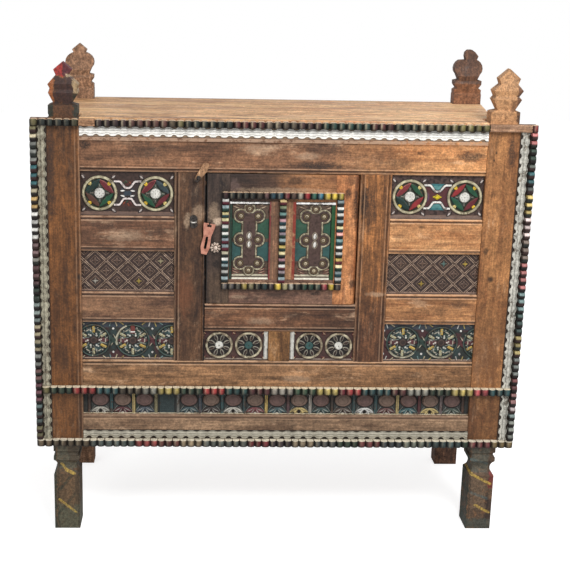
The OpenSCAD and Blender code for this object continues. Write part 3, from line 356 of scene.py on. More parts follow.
def timber(name, grain, light, dark, seed, edges=None, drift=None, stains=(), bands=(), washes=(), **wear):
    """Old wood along one axis. edges is (axis across, low, high) where it is moulded; drift is (axis, start, end,
    light, dark) for the tones at the far end; a stain is (x, z, reach x, reach z, colour, cover) and a band of colour
    (axis, low, high, colour, cover), old paint but for the black painted shadow along the door gap; both are on the
    front, but a band across y goes all round. A wash is (scale, colour, cover): long clouds of another tone. Places
    are in metres."""
    net = Finish(name)
    if drift:
        light, dark = (net.drifted(*drift[:3], near, far) for near, far in ((light, drift[3]), (dark, drift[4])))
    wood = net.wood(grain, light, dark, seed, **wear)
    colour = wood["Color"]
    in_front = net.spread(net.parts["y"], FRONT_FULL, FRONT_NONE, 1.0, 0.0)
    for *oval, tone, cover in stains:
        colour = net.lay(net.times(net.stain(*oval), in_front), cover, colour, tone)
    for scale, tone, cover in washes:
        slow = tuple(max(part, 0.22) for part in ALONG[grain])
        cloud = net.noise(net.vector("MULTIPLY", net.place, slow), scale, 6.0, 0.65, 0.4)
        colour = net.lay(net.spread(cloud, 0.48, 0.62), cover, colour, tone)
    if edges:
        # Moulded edges: painted shade in the quirk and bright lips, part painted highlight.
        colour = net.edge_shade_and_wear(colour, light, *edges)
    chips = net.spread(net.cloud(90.0, 6.0, 0.7), 0.36, 0.52) if bands else None
    for axis, low, high, tone, cover in bands:
        mask = net.times(net.band(net.parts[axis], low, high, 0.0008), chips)
        colour = net.lay(mask if axis == "y" else net.times(mask, in_front), cover, colour, tone)
    return net.done(colour, wood["Roughness"], wood["Height"])


def dress(node, material, soften=0.0):
    """Gives a measured timber its material and, where asked, slightly rounded arrises."""
    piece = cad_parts[node]
    if not piece.material_slots:
        piece.data.materials.append(material)
    for place in piece.material_slots:
        place.link = "OBJECT"
        place.material = material
    if soften:
        weld = piece.modifiers.new("join_corners", "WELD")
        weld.merge_threshold = 0.00001
        round_off = piece.modifiers.new("worn_arrises", "BEVEL")
        round_off.width, round_off.segments = soften, 2
        round_off.limit_method, round_off.angle_limit = "ANGLE", np.radians(28)
        round_off.use_clamp_overlap = True
        round_off.loop_slide = False


print("timber materials ready")

# %% [markdown]
# ## The frame's timbers
# No two timbers are of one tree: the right-hand side has bleached to orange where light falls on
# it, and the left has kept its soot. Each gets its own two tones. Stains lie where they were
# made: oil round the lock, a scorch beside the hinge, the rust of an old strap on the right post.
# A black band down both sides of the door gap is painted shadow.

# %% Dress the framing
WORN = 0.0012
# The last of these four colours is painted shadow for the door gap; the other three are stains.
BURNT, SOOTY, DUSTY, GAP_SHADOW_BLACK = (24, 17, 14), (40, 30, 26), (206, 176, 146), (12, 9, 8)


def own_wood(node, wood, *look, **marks):
    """Dresses a timber in old wood of its own, with worn arrises."""
    dress(node, timber(wood + "_wood", *look, **marks), WORN)


own_wood("top_rail", "top_rail", "x", (156, 111, 80), (78, 51, 36), 1.0, ("z", 0.979, 1.3),
         drift=("x", 0.08, 0.42, (239, 178, 119), (173, 112, 67)),
         bands=[("z", 1.058, 1.069, (176, 146, 122), 0.75), ("z", 1.0665, 1.0685, (40, 28, 24), 0.8)],
         stains=[(0.086, 1.0, 0.085, 0.013, SOOTY, 0.85), (-0.503, 1.046, 0.02, 0.013, BURNT, 0.9),
                 (0.472, 1.029, 0.045, 0.016, SOOTY, 0.8), (0.10, 1.042, 0.06, 0.02, SOOTY, 0.6),
                 (-0.062, 1.040, 0.055, 0.016, DUSTY, 0.35), (0.06, 1.024, 0.04, 0.012, DUSTY, 0.35),
                 (0.29, 1.01, 0.05, 0.02, SOOTY, 0.5), (0.345, 1.035, 0.012, 0.006, BURNT, 0.7),
                 (-0.36, 1.03, 0.07, 0.03, SOOTY, 0.5)],
         lines=0.45, patches=0.4, rubbed=0.6)
own_wood("bottom_rail", "bottom_rail", "x", (176, 131, 92), (98, 70, 47), 2.0, ("z", 0.2, 0.48),
         drift=("x", 0.1, 0.5, (178, 131, 89), (99, 68, 44)),
         stains=[(-0.30, 0.455, 0.07, 0.018, SOOTY, 0.5), (0.05, 0.43, 0.05, 0.014, DUSTY, 0.3),
                 (0.33, 0.445, 0.06, 0.02, SOOTY, 0.45)],
         lines=0.45, patches=0.4, rubbed=0.6)
own_wood("base_rail", "base_rail", "x", (169, 136, 106), (96, 72, 54), 3.0, ("z", 0.2, 0.328, 0.5),
         bands=[("z", 0.3175, 0.34, (112, 86, 68), 0.6)], lines=0.45, patches=0.35, rubbed=0.6)
own_wood("door_sill_rail", "door_sill", "x", (154, 108, 76), (83, 54, 38), 4.0, ("z", 0.561, 0.635),
         drift=("x", -0.05, 0.15, (104, 70, 49), (52, 32, 23)),
         stains=[(-0.05, 0.59, 0.05, 0.012, DUSTY, 0.3), (0.03, 0.605, 0.04, 0.014, SOOTY, 0.6)],
         lines=0.5, patches=0.5, rubbed=0.6)
# The black band at the door side of this stile is painted shadow in the door gap.
own_wood("inner_stile_left", "inner_stile_left", "z", (105, 74, 51), (52, 32, 22), 5.0, ("x", -0.276, -0.15, 0.6),
         bands=[("x", -0.2, -0.19, GAP_SHADOW_BLACK, 1.0)],
         stains=[(-0.225, 0.935, 0.022, 0.06, SOOTY, 0.7), (-0.215, 0.875, 0.02, 0.03, DUSTY, 0.35),
                 (-0.243, 0.855, 0.012, 0.025, DUSTY, 0.45), (-0.25, 0.66, 0.03, 0.07, (120, 72, 46), 0.5)],
         lines=0.5, patches=0.45, rubbed=0.5)
own_wood("inner_stile_right", "inner_stile_right", "z", (191, 126, 72), (97, 63, 38), 6.0, ("x", 0.196, 0.276, 0.6),
         drift=("z", 0.75, 0.55, (137, 92, 62), (62, 37, 24)),
         stains=[(0.205, 0.905, 0.016, 0.055, BURNT, 0.95), (0.222, 0.89, 0.022, 0.07, SOOTY, 0.6),
                 (0.25, 0.665, 0.03, 0.008, DUSTY, 0.4)],
         lines=0.85, patches=0.4, rubbed=0.35)
own_wood("lower_muntin", "lower_muntin", "z", (164, 117, 70), (87, 57, 32), 7.0, patches=0.35)
own_wood("upper_rail_left", "upper_rail_left", "x", (139, 97, 71), (75, 50, 36), 8.0, ("z", 0.773, 0.865),
         stains=[(-0.402, 0.815, 0.07, 0.02, DUSTY, 0.3), (-0.33, 0.83, 0.035, 0.02, SOOTY, 0.5),
                 (-0.46, 0.84, 0.04, 0.012, SOOTY, 0.5)],
         patches=0.45, rubbed=0.7)
own_wood("upper_rail_right", "upper_rail_right", "x", (220, 165, 113), (160, 106, 65), 9.0, ("z", 0.773, 0.865),
         stains=[(0.30, 0.82, 0.02, 0.008, SOOTY, 0.5), (0.42, 0.80, 0.03, 0.006, SOOTY, 0.45),
                 (0.36, 0.845, 0.012, 0.004, BURNT, 0.6)],
         lines=0.4, patches=0.22, rubbed=0.5)
own_wood("lower_rail_left", "lower_rail_left", "x", (154, 114, 84), (85, 59, 45), 10.0, ("z", 0.583, 0.665),
         patches=0.45, rubbed=0.6)
own_wood("lower_rail_right", "lower_rail_right", "x", (195, 139, 91), (121, 78, 48), 11.0, ("z", 0.583, 0.665),
         stains=[(0.40, 0.62, 0.07, 0.014, SOOTY, 0.45), (0.47, 0.64, 0.03, 0.015, SOOTY, 0.5)],
         lines=0.45, patches=0.35, rubbed=0.5)
own_wood("door_hinge_stile", "hinge_stile", "z", (220, 152, 99), (141, 86, 52), 12.0,
         stains=[(0.190, 0.90, 0.014, 0.075, BURNT, 0.9), (0.148, 0.86, 0.016, 0.07, (196, 96, 48), 0.7),
                 (0.186, 0.692, 0.014, 0.016, SOOTY, 0.85), (0.165, 0.93, 0.01, 0.016, SOOTY, 0.8),
                 (0.18, 0.965, 0.03, 0.02, SOOTY, 0.5), (0.155, 0.805, 0.005, 0.008, BURNT, 0.8)],
         lines=0.55, patches=0.25, rubbed=0.5)
# The black band along the door's free edge is painted shadow in the gap.
own_wood("door_lock_stile", "lock_stile", "z", (84, 67, 57), (37, 28, 25), 13.0,
         drift=("z", 0.76, 0.68, (103, 82, 64), (54, 40, 32)), bands=[("x", -0.2, -0.1915, GAP_SHADOW_BLACK, 1.0)],
         stains=[(-0.175, 0.872, 0.02, 0.035, DUSTY, 0.35), (-0.164, 0.853, 0.018, 0.012, (232, 204, 178), 0.7),
                 # The two dark ovals at and under the boss make the stile darker round it.
                 (-0.166, 0.742, 0.014, 0.016, BURNT, 0.9), (-0.171, 0.782, 0.022, 0.026, BURNT, 0.75)],
         lines=0.4, patches=0.5, rubbed=0.35)
own_wood("door_top_rail", "door_top_rail", "x", (75, 54, 42), (39, 28, 24), 14.0,
         drift=("x", -0.06, 0.09, (178, 124, 81), (108, 70, 45)),
         stains=[(0.0, 0.936, 0.16, 0.009, DUSTY, 0.35), (-0.125, 0.945, 0.02, 0.025, (110, 90, 84), 0.5),
                 (0.03, 0.96, 0.025, 0.012, BURNT, 0.6)],
         lines=0.35, patches=0.45, rubbed=0.6)
own_wood("door_bottom_rail", "door_bottom_rail", "x", (131, 97, 79), (72, 51, 42), 15.0,
         stains=[(0.092, 0.666, 0.018, 0.008, BURNT, 0.85), (-0.02, 0.66, 0.02, 0.008, SOOTY, 0.6),
                 (-0.11, 0.655, 0.03, 0.006, DUSTY, 0.3)],
         lines=0.45, patches=0.4, rubbed=0.55)
own_wood("door_muntin", "door_muntin", "z", (153, 112, 85), (91, 64, 48), 16.0,
         drift=("x", -0.004, 0.006, (188, 142, 104), (124, 88, 62)),
         bands=[("x", -0.036, -0.030, (112, 40, 44), 0.95), ("x", -0.0275, -0.025, (110, 84, 66), 0.8),
                ("x", 0.0262, 0.036, (122, 42, 34), 0.95), ("x", -0.021, -0.018, (84, 60, 46), 0.6)],
         lines=0.5, patches=0.25, rubbed=0.4)
own_wood("top_planks", "top_plank", "x", (244, 196, 147), (168, 122, 83), 20.0,
         drift=("x", -0.2, 0.5, (255, 221, 171), (209, 147, 106)),
         washes=[(13.0, (158, 124, 106), 0.55), (21.0, (252, 212, 158), 0.5)],
         bands=[("y", -0.214, -0.202, (58, 40, 30), 0.8), ("y", 0.234, 0.26, (96, 70, 54), 0.55)],
         lines=0.65, patches=0.25, rubbed=0.6, dirt=(84, 66, 54))
plain_wood = timber("plain_wood", "z", (130, 96, 72), (66, 46, 36), 17.0)
level_wood = timber("level_wood", "y", (140, 104, 78), (72, 50, 38), 18.0)
back_wood = timber("back_wood", "x", (146, 110, 84), (78, 56, 42), 19.0, patches=0.4)
for wood, nodes in ((plain_wood, ("door_stop", "wing_board_left", "wing_board_right")),
                    (level_wood, ("side_rails_left", "side_rails_right", "side_planks_left", "side_planks_right")),
                    (back_wood, ("back_rails", "back_planks"))):
    for node in nodes:
        dress(node, wood, WORN)
dress("floor_planks", level_wood)
print("framing dressed")

# %% [markdown]
# ## Surfaces from arrays
# The carved and painted pieces are worked out as whole arrays. Each is a closed skin: rings of
# points joined to rings, or a carved face joined to a flat back. Small helpers turn arrays into a
# mesh and check that its faces point outwards.

# %% Mesh helpers


def outward(points, triangles):
    """True if the signed volume, a sixth of the sum of a . (b x c) over the triangles, is positive."""
    a, b, c = (points[triangles[:, i]] for i in range(3))
    return float(np.einsum("ij,ij->i", a, np.cross(b, c)).sum()) > 0


def skin(name, points, quads, triangles, material, body, slot, sharp, paint=None, **marks):
    """A closed mesh from arrays, riding on a body and smooth but for edges sharper than an angle. Paint is a colour
    and each mark a number for every point."""
    quads, triangles = np.asarray(quads, int).reshape(-1, 4), np.asarray(triangles, int).reshape(-1, 3)
    halves = np.concatenate([quads[:, [0, 1, 2]], quads[:, [0, 2, 3]], triangles])
    if not outward(points, halves):
        quads, triangles = quads[:, ::-1], triangles[:, ::-1]
    mesh = bpy.data.meshes.new(name)
    mesh.vertices.add(len(points))
    mesh.vertices.foreach_set("co", np.ascontiguousarray(points, np.float32).ravel())
    corners = np.concatenate([quads.ravel(), triangles.ravel()]).astype(np.int32)
    mesh.loops.add(len(corners))
    mesh.loops.foreach_set("vertex_index", corners)
    starts = np.concatenate([np.arange(len(quads)) * 4, len(quads) * 4 + np.arange(len(triangles)) * 3])
    mesh.polygons.add(len(starts))
    mesh.polygons.foreach_set("loop_start", starts.astype(np.int32))
    mesh.update(calc_edges=True)
    mesh.validate()
    mesh.shade_smooth()
    mesh.set_sharp_from_angle(angle=np.radians(sharp))
    if paint is not None:
        layer = mesh.attributes.new("paint", "FLOAT_COLOR", "POINT")
        layer.data.foreach_set("color", np.ascontiguousarray(paint, np.float32).ravel())
    for mark, values in marks.items():
        layer = mesh.attributes.new(mark, "FLOAT", "POINT")
        layer.data.foreach_set("value", np.ascontiguousarray(values, np.float32).ravel())
    mesh.materials.append(material)
    piece = bpy.data.objects.new(name, mesh)
    bpy.context.scene.collection.objects.link(piece)
    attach(piece, body)
    return piece


def ring_faces(n_rings, n_round):
    """Quads that join rings of points, each ring closed on itself: point (i, j) is i * n_round + j."""
    i, j = np.meshgrid(np.arange(n_rings - 1), np.arange(n_round), indexing="ij")
    after = (j + 1) % n_round
    return np.stack([i * n_round + j, i * n_round + after, (i + 1) * n_round + after, (i + 1) * n_round + j],
                    axis=-1).reshape(-1, 4)


def closed_rings(rings):
    """Points, quads and end fans of a solid whose skin is a row of closed rings (n_rings, n_round, 3)."""
    n_rings, n_round = rings.shape[:2]
    points = np.concatenate([rings.reshape(-1, 3), rings[[0, -1]].mean(axis=1)])
    j = np.arange(n_round)
    after = (j + 1) % n_round
    last = (n_rings - 1) * n_round
    near, far = n_rings * n_round, n_rings * n_round + 1
    fans = np.concatenate([np.stack([np.full(n_round, near), after, j], axis=-1),
                           np.stack([np.full(n_round, far), last + j, last + after], axis=-1)])
    return points, ring_faces(n_rings, n_round), fans


def unevenness(a, b, cell, seed):
    """Smooth random values from -1 to 1 over two coordinates: random numbers on a lattice, blended between them."""
    table = np.random.default_rng(seed).uniform(-1, 1, (64, 64))
    p, q = np.asarray(a) / cell, np.asarray(b) / cell
    i, j = np.floor(p).astype(int), np.floor(q).astype(int)
    s, t = p - i, q - j
    s, t = s * s * (3 - 2 * s), t * t * (3 - 2 * t)
    corner = lambda di, dj: table[(i + di) % 64, (j + dj) % 64]
    low = corner(0, 0) * (1 - s) + corner(1, 0) * s
    high = corner(0, 1) * (1 - s) + corner(1, 1) * s
    return low * (1 - t) + high * t


print("mesh helpers ready")

# %% [markdown]
# ## A board to carve
# A carved panel is a height over its board. Every form is drawn by its distance: below zero inside
# the form, above zero outside. From the distance come both the rounded height and the paint, so
# the colour always fits the carving. All sizes on the board are in millimetres from its middle.

# %% Carving helpers
GRID, HOUSED = 0.9, 7.5


class Board:
    """Height, paint and paint cover over a grid that reaches a little way, housed, into the grooves round an
    opening; u runs across, v up, from the middle of the opening."""

    def __init__(self, opening_x, opening_z, ground, cover=0.9, grid=GRID, housed=HOUSED):
        places = []
        for low, high in (opening_x, opening_z):
            start, end = low - housed, high + housed
            places.append(np.linspace(start, end, int(round((end - start) / grid)) + 1))
        self.x, self.z = np.meshgrid(*places, indexing="ij")
        self.u = self.x - (opening_x[0] + opening_x[1]) / 2
        self.v = self.z - (opening_z[0] + opening_z[1]) / 2
        self.half = ((opening_x[1] - opening_x[0]) / 2, (opening_z[1] - opening_z[0]) / 2)
        self.height = np.zeros_like(self.x)
        self.paint = np.empty(self.x.shape + (4,))
        self.paint[...] = (*tint(ground), cover)

    def colour(self, distance, colour, cover=1.0, soft=0.8):
        """Paints where distance is below zero, with an edge as soft as a brush line."""
        share = np.clip(0.5 - distance / soft, 0, 1)[..., None]
        self.paint += share * (np.array([*tint(colour), cover]) - self.paint)

    def aged(self, dark, share=0.25):
        """Greys and darkens all the paint, as smoke and handling did."""
        tone = self.paint[..., :3]
        tone += share * (tone.mean(axis=-1, keepdims=True) - tone)
        tone *= dark

    def raised(self, distance, height, colour=None, rounding=2.5, cover=1.0):
        """Raises a form: its height grows as a quarter circle over the rounding, then stays level."""
        rise = np.clip(-distance / rounding, 0, 1)
        self.height = np.maximum(self.height, height * np.sqrt(1 - (1 - rise) ** 2) * (distance < 0))
        if colour is not None:
            self.colour(distance, colour, cover)

    def sunk(self, distance, depth, colour=None):
        """Cuts a form into what is there."""
        self.height = self.height - depth * np.clip(0.5 - distance / 1.2, 0, 1)
        if colour is not None:
            self.colour(distance, colour)


def disc(b, u, v, r):
    """Distance from a circle: the distance from its middle, less its radius."""
    return np.hypot(b.u - u, b.v - v) - r


def ring(b, u, v, r, width):
    """Distance from a band round a circle."""
    return np.abs(np.hypot(b.u - u, b.v - v) - r) - width / 2


def heading(degrees):
    """Cosine and sine of an angle in degrees."""
    return np.cos(np.radians(degrees)), np.sin(np.radians(degrees))


def away(u, reach, degrees):
    """The point at a reach from (u, 0) in a direction: (u + reach cos, reach sin)."""
    c, s = heading(degrees)
    return u + reach * c, reach * s


def turned(b, u, v, degrees):
    """The board's places measured from a point, along and across a direction."""
    c, s = heading(degrees)
    return (b.u - u) * c + (b.v - v) * s, -(b.u - u) * s + (b.v - v) * c


def leaf(b, u, v, degrees, length, width):
    """Distance from a leaf, the overlap of two circles whose radius is (length^2 + width^2) / (4 width)."""
    along, across = turned(b, u, v, degrees)
    r = (length * length + width * width) / (4 * width)
    return np.hypot(along, np.abs(across) + r - width / 2) - r


def bar(b, u, v, degrees, length, width):
    """Distance from a straight bar."""
    along, across = turned(b, u, v, degrees)
    return np.maximum(np.abs(along) - length / 2, np.abs(across) - width / 2)


def lozenge(b, u, v, wide, tall):
    """Distance from a lozenge, about right near its edge."""
    return (np.abs(b.u - u) / wide + np.abs(b.v - v) / tall - 0.5) * min(wide, tall)


def patches(b, level, cell, seed):
    """Distance from ragged patches: a level less smooth random values from -1 to 1."""
    return level - unevenness(b.u, b.v, cell, seed)


def eased(t):
    """Smooth step from 0 to 1."""
    t = np.clip(t, 0, 1)
    return t * t * (3 - 2 * t)


def blurred(values, reach):
    """Mean over a square window, by sums of shifted arrays along each axis in turn."""
    for axis in (0, 1):
        padded = np.pad(values, [(reach, reach) if a == axis else (0, 0) for a in (0, 1)], mode="edge")
        total = np.cumsum(padded, axis=axis)
        zero = np.zeros_like(np.take(total, [0], axis=axis))
        total = np.concatenate([zero, total], axis=axis)
        n = values.shape[axis]
        width = 2 * reach + 1
        first, after = (np.take(total, np.arange(start, start + n), axis=axis) for start in (0, width))
        values = (after - first) / width
    return values


print("a board's points are", GRID, "mm apart")

# %% [markdown]
# ## Old paint over carving
# The paint is thin and a lifetime old: it stays in the flats and is rubbed to bare wood on high
# edges. Hollows and gaps are darkened, part soot and part painted shade. The carving's own
# grime-and-shade and rub marks, kept on the points, drive both, with noise to break them up.

# %% Painted carving material


def painted(name, light, dark, seed, grain="x", wear=0.45, soot_and_shade=0.8, gloss=0.5, fade=0.25):
    """Paint from the piece's own colours over old wood, worn at the edges and darkened in the hollows, part
    soot and part painted shade.
    """
    net = Finish(name)
    wood = net.wood(grain, light, dark, seed)
    paint, grime, rub = (net.put("Attribute", attribute_name=mark).outputs for mark in ("paint", "grime", "rub"))
    cloud, fleck = net.cloud(55.0, 6.0, 0.65), net.cloud(330.0, 3.0, 0.6)
    faded = net.spread(net.cloud(120.0, 4.0, 0.6), 0.3, 0.7, 1.0 - fade, 1.0 + 0.5 * fade)
    lost = net.times_plus(rub["Fac"], 0.18, net.times_plus(cloud, 0.9, net.times(fleck, 0.35)))
    kept = net.spread(lost, 1.12 - wear, 1.24 - wear, 1.0, 0.0)
    cover = net.times(paint["Alpha"], net.most(kept, 0.25))
    colour = net.blend(cover, wood["Color"], net.shaded(paint["Color"], faded))
    # Darkening from the grime-and-shade marks: part soot, part painted shade.
    colour = net.lay(grime["Fac"], soot_and_shade, colour, (17, 13, 12))
    height = net.times_plus(fleck, 0.6, net.times(cover, 0.5))
    return net.done(colour, net.spread(cloud, 0.3, 0.7, gloss, gloss + 0.18), height, 0.3, 0.0006, 0.3)


DARK_CARVING = painted("painted_dark_carving", (104, 76, 58), (44, 31, 26), 31.0, wear=0.32)
print("painted carving ready")

# %% [markdown]
# A finished board becomes a solid: the carved face, a rim round it and a flat back. Hollows are
# found by comparing the height with its own mean nearby; they are darkened, part grime and part painted
# shade, and high places rub.

# %% Closing a board
PANEL_FACE, PANEL_BACK = -0.218, -0.208
SIDES = {-1: "_left", 1: "_right"}


def carved_panel(b, node, seed, face=PANEL_FACE, back=PANEL_BACK, body="cabinet"):
    """Closes a carved board into a solid that shows in place of a measured panel: its face, a rim, and a flat back
    as a fan. Where the face is hollow it is darkened, part grime and part painted shade."""
    ripple = 0.18 * unevenness(b.u, b.v, 11.0, seed) + 0.1 * unevenness(b.u, b.v, 2.6, seed + 1)
    height = b.height + ripple
    around = blurred(height, 3)
    # Darkening in the hollows: part grime, part painted shade.
    grime = np.clip((around - height - 0.35) / 0.9, 0, 1)
    rub = np.clip((height - around) / 0.8, 0, 1)
    n, m = height.shape
    front = np.stack([b.x * MM, face - height * MM, b.z * MM], axis=-1)
    index = np.arange(n * m).reshape(n, m)
    faces = np.stack([index[:-1, :-1], index[1:, :-1], index[1:, 1:], index[:-1, 1:]], axis=-1).reshape(-1, 4)
    loop = np.concatenate([index[:, 0], index[-1, 1:], index[-2::-1, -1], index[0, -2:0:-1]])
    rear = front.reshape(-1, 3)[loop].copy()
    rear[:, 1] = back
    k = np.arange(len(loop))
    after = (k + 1) % len(loop)
    sides = np.stack([loop[k], n * m + k, n * m + after, loop[after]], axis=-1)
    hub = n * m + len(loop)
    fan = np.stack([np.full(len(loop), hub), n * m + after, n * m + k], axis=-1)
    points = np.concatenate([front.reshape(-1, 3), rear, rear.mean(axis=0, keepdims=True)])
    rest = len(loop) + 1
    bare = np.tile([*tint(UMBER), 0.0], (rest, 1))
    paint = np.concatenate([b.paint.reshape(-1, 4), bare])
    pad = np.zeros(rest)
    piece = skin("carved_" + node, points, np.concatenate([faces, sides]), fan, DARK_CARVING, body,
                 "carved_painted_panel", 50, paint,
                 grime=np.concatenate([grime.ravel(), pad]), rub=np.concatenate([rub.ravel(), pad]))
    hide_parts(node)
    print(node, len(points), "points, carved to", round(float(height.max()), 1), "mm")


print("panels stand at", PANEL_FACE, "m")

# %% [markdown]
# ## Wheel panels
# At the top of each side two wheels lie side by side: a cream rim, a chalk hub, four leaves laid
# across the spokes and yellow marks behind them. White ribbons swing between the wheels.

# %% Wheel panels
WHEEL_GAP, WHEEL_R, RIM_W, HUB_R = 141.0, 45.0, 7.4, 13.5
LEAF_OUT, MARK_OUT, SPOKE_OUT = 24.5, 35.5, 19.0
WHEELS_Z, LATTICE_Z, ROSETTES_Z = (865.0, 979.0), (665.0, 773.0), (480.0, 583.0)
DISCS_Z, FRIEZE_Z = (480.0, 561.0), (328.0, 392.0)
SIDE_X, DISCS_X, FRIEZE_X = (276.0, 514.0), (28.0, 196.0), (-514.0, 514.0)


def at_side(side, near_and_far):
    """An opening's two ends across, at the right for side 1 and mirrored to the left for side -1."""
    return near_and_far if side > 0 else (-near_and_far[1], -near_and_far[0])


def sill_slope(b, rise, reach, colour, line=0.6):
    """The chamfered sill along the foot of a panel: height grows in a straight slope down to the rail."""
    from_foot = b.v + b.half[1]
    b.height = np.maximum(b.height, rise * np.clip(1 - from_foot / reach, 0, 1))
    b.colour(from_foot - reach, (104, 82, 72), 0.7)
    b.colour(np.abs(from_foot - reach) - 0.7, colour, line)
    b.colour(from_foot - 1.6, SOOT, 0.9)


def wheel(b, u, leaves, seed):
    """Rim, hub, four leaves across the spokes and the marks behind them."""
    b.colour(disc(b, u, 0, WHEEL_R), (34, 44, 36), 0.95)
    b.colour(np.maximum(disc(b, u, 0, WHEEL_R), patches(b, 0.2, 6.0, seed)), (52, 70, 58), 0.8, 0.5)
    for quarter, (colour, edge) in enumerate(leaves):
        angle = 45 + 90 * quarter
        form = leaf(b, *away(u, LEAF_OUT, angle), angle + 90, 55, 15)
        b.raised(form, 3.8, colour, 3.0)
        b.colour(np.abs(form + 0.7) - 0.5, edge, 0.8)
        mark = away(u, MARK_OUT, angle)
        b.raised(leaf(b, *mark, angle, 11, 10), 2.6, YELLOW if (quarter + seed) % 3 else (206, 186, 120), 2.0)
        b.colour(bar(b, *mark, angle, 10, 1.0), (120, 108, 50), 0.7)
    for angle in (0, 90, 180, 270):
        for tilt in (-24, 24):
            b.raised(bar(b, *away(u, SPOKE_OUT, angle), angle + tilt, 10, 1.2), 1.5, (150, 150, 140), 0.8, 0.75)
    rim = ring(b, u, 0, WHEEL_R - RIM_W / 2, RIM_W)
    b.raised(rim, 5.0, OLD_CREAM, 2.6)
    b.colour(np.maximum(rim, patches(b, 0.1, 13.0, seed + 3)), (170, 162, 134), 0.8, 0.6)
    b.colour(np.abs(disc(b, u, 0, WHEEL_R - RIM_W)) - 0.6, (96, 96, 48), 0.8)
    hub = disc(b, u, 0, HUB_R)
    b.raised(hub, 4.6, CHALK, 3.0)
    angle = np.arctan2(b.v, b.u - u)
    dots = np.hypot(np.hypot(b.u - u, b.v) - 8.2, 8.2 * (angle - np.round(angle / (np.pi / 4)) * np.pi / 4)) - 0.9
    b.colour(dots, GREY, 0.6)
    b.colour(disc(b, u, 0, 1.3), UMBER)


def swing(w, level, rise, start, reach):
    """A ribbon's height, level + rise * eased, over the distance from the middle, and how far its slope thins it."""
    t = np.clip((w - start) / reach, 0, 1)
    slope = rise * 6 * t * (1 - t) / reach
    return level + rise * eased(t), 1 / np.sqrt(1 + slope * slope)


def wheel_panel(side):
    """One wheel panel, with the ribbons and the middle ornament of its side."""
    ground = (58, 44, 40) if side < 0 else (74, 58, 54)
    b = Board(at_side(side, SIDE_X), WHEELS_Z, ground)
    b.colour(patches(b, 0.15, 5.0, 60 + side), (40, 30, 29), 0.85, 0.5)
    sill_slope(b, 4.6, 9.0, (132, 106, 92), 0.5)
    w = np.abs(b.u)
    top, thin_top = swing(w, 14.0, 16.5, 3.0, 19.0)
    bottom, thin_bottom = swing(w, 13.5, 16.0, 7.0, 16.0)
    bottom = -bottom
    far = 9.0 * (w >= 36)
    middle = (78, 40, 44) if side > 0 else (48, 40, 40)
    b.colour(np.maximum(np.maximum(b.v - top, bottom - b.v), w - 36), middle, 0.9)
    for under, over, edge in ((top, 34 + 0 * w, 19), (-34 + 0 * w, bottom, 21)):
        fill = np.maximum(np.maximum(under - b.v, b.v - over), w - edge) + far
        b.colour(fill, (50, 104, 108) if side > 0 else (66, 42, 36), 0.95)
        if side > 0:
            b.colour(fill + 5.5, (84, 140, 140), 0.8)
    if side < 0:
        b.colour(np.minimum(bar(b, 0, 0, 32, 38, 8), bar(b, 0, 0, -32, 38, 8)), (50, 60, 70))
        for u, v, tilt in ((-12.7, 6.6, 4), (13, 6.6, -6), (-12.2, -6.6, -16), (12.2, -6.4, 6)):
            b.raised(leaf(b, u, v, tilt, 17, 8), 1.6, (34, 28, 28), 1.0)
            b.raised(leaf(b, u, v, tilt, 12, 3.8), 2.2, OLD_WHITE, 1.0)
        for k, (u, v) in enumerate(((-8, 27), (7, 26), (0, 22), (-3, 30), (-9, -25), (8, -26), (-1, -21), (2, -29))):
            b.raised(leaf(b, u, v, 55 + 70 * (k % 2), 9, 2.6), 1.2, (GREEN, (150, 70, 40), MAROON)[k % 3], 0.8)
    else:
        b.raised(lozenge(b, 0, 0, 24, 14), 2.8, (228, 204, 40), 2.0)
        b.colour(np.abs(lozenge(b, 0, 0, 15, 8)) - 0.6, (176, 150, 30), 0.7)
        b.colour(np.maximum(leaf(b, -26, 0, 90, 26, 12), w - 34), (96, 60, 96), 0.6)
    for curve, thin in ((top, thin_top), (bottom, thin_bottom)):
        ribbon = np.maximum(np.abs(b.v - curve) * thin - 2.7 + far, w - 35)
        b.colour(ribbon - 1.2, (36, 28, 28), 0.9)
        b.raised(ribbon, 3.6, OLD_WHITE if side > 0 else (224, 212, 208), 1.2)
    tones = {(-1, 0): [(MAROON, PINK), (DARK_GREEN, TEAL), ((76, 48, 38), BROWN), (GREEN, DARK_GREEN)],
             (-1, 1): [((46, 58, 60), SLATE), (MAROON, PINK), (GREEN, DARK_GREEN), (MAROON, BROWN)],
             (1, 0): [(GREEN, DARK_GREEN), ((112, 44, 48), PINK), (DARK_GREEN, TEAL), ((132, 42, 44), MAROON)],
             (1, 1): [(GREEN, DARK_GREEN), ((132, 42, 44), MAROON), (GREEN, TEAL), (MAROON, BROWN)]}
    for k, u in enumerate((-WHEEL_GAP / 2, WHEEL_GAP / 2)):
        wheel(b, u, tones[side, k], 4 + 2 * side + k)
    for u, v, tilt in ((-112, 42, -50), (-35, 42, 40), (35, 42, -40), (112, 42, 50),
                       (-111, -42, 45), (-35, -44, -42), (33, -44, 48), (112, -43, -48)):
        b.raised(leaf(b, u, v, tilt, 18, 10), 1.5, (36, 28, 27), 1.0)
        b.raised(leaf(b, u, v, tilt, 11, 3.6), 2.0, (196, 186, 180), 1.0, 0.9)
        for off in (-6.0, 6.0):
            b.colour(bar(b, u, v + off * 0.8, tilt, 10, 1.0), (120, 100, 92), 0.6)
    carved_panel(b, "wheel_panel" + SIDES[side], 100 + side)


for side in (-1, 1):
    wheel_panel(side)

# %% [markdown]
# ## Lattice panels
# The middle panels are a plain lattice: paired ridges cross on a slant, and every diamond holds a
# smaller diamond with a four-pointed star. Folding the plane by the lattice draws all of them at once.

# %% Lattice panels
DIAMOND_W, DIAMOND_H = 56.0, 54.0


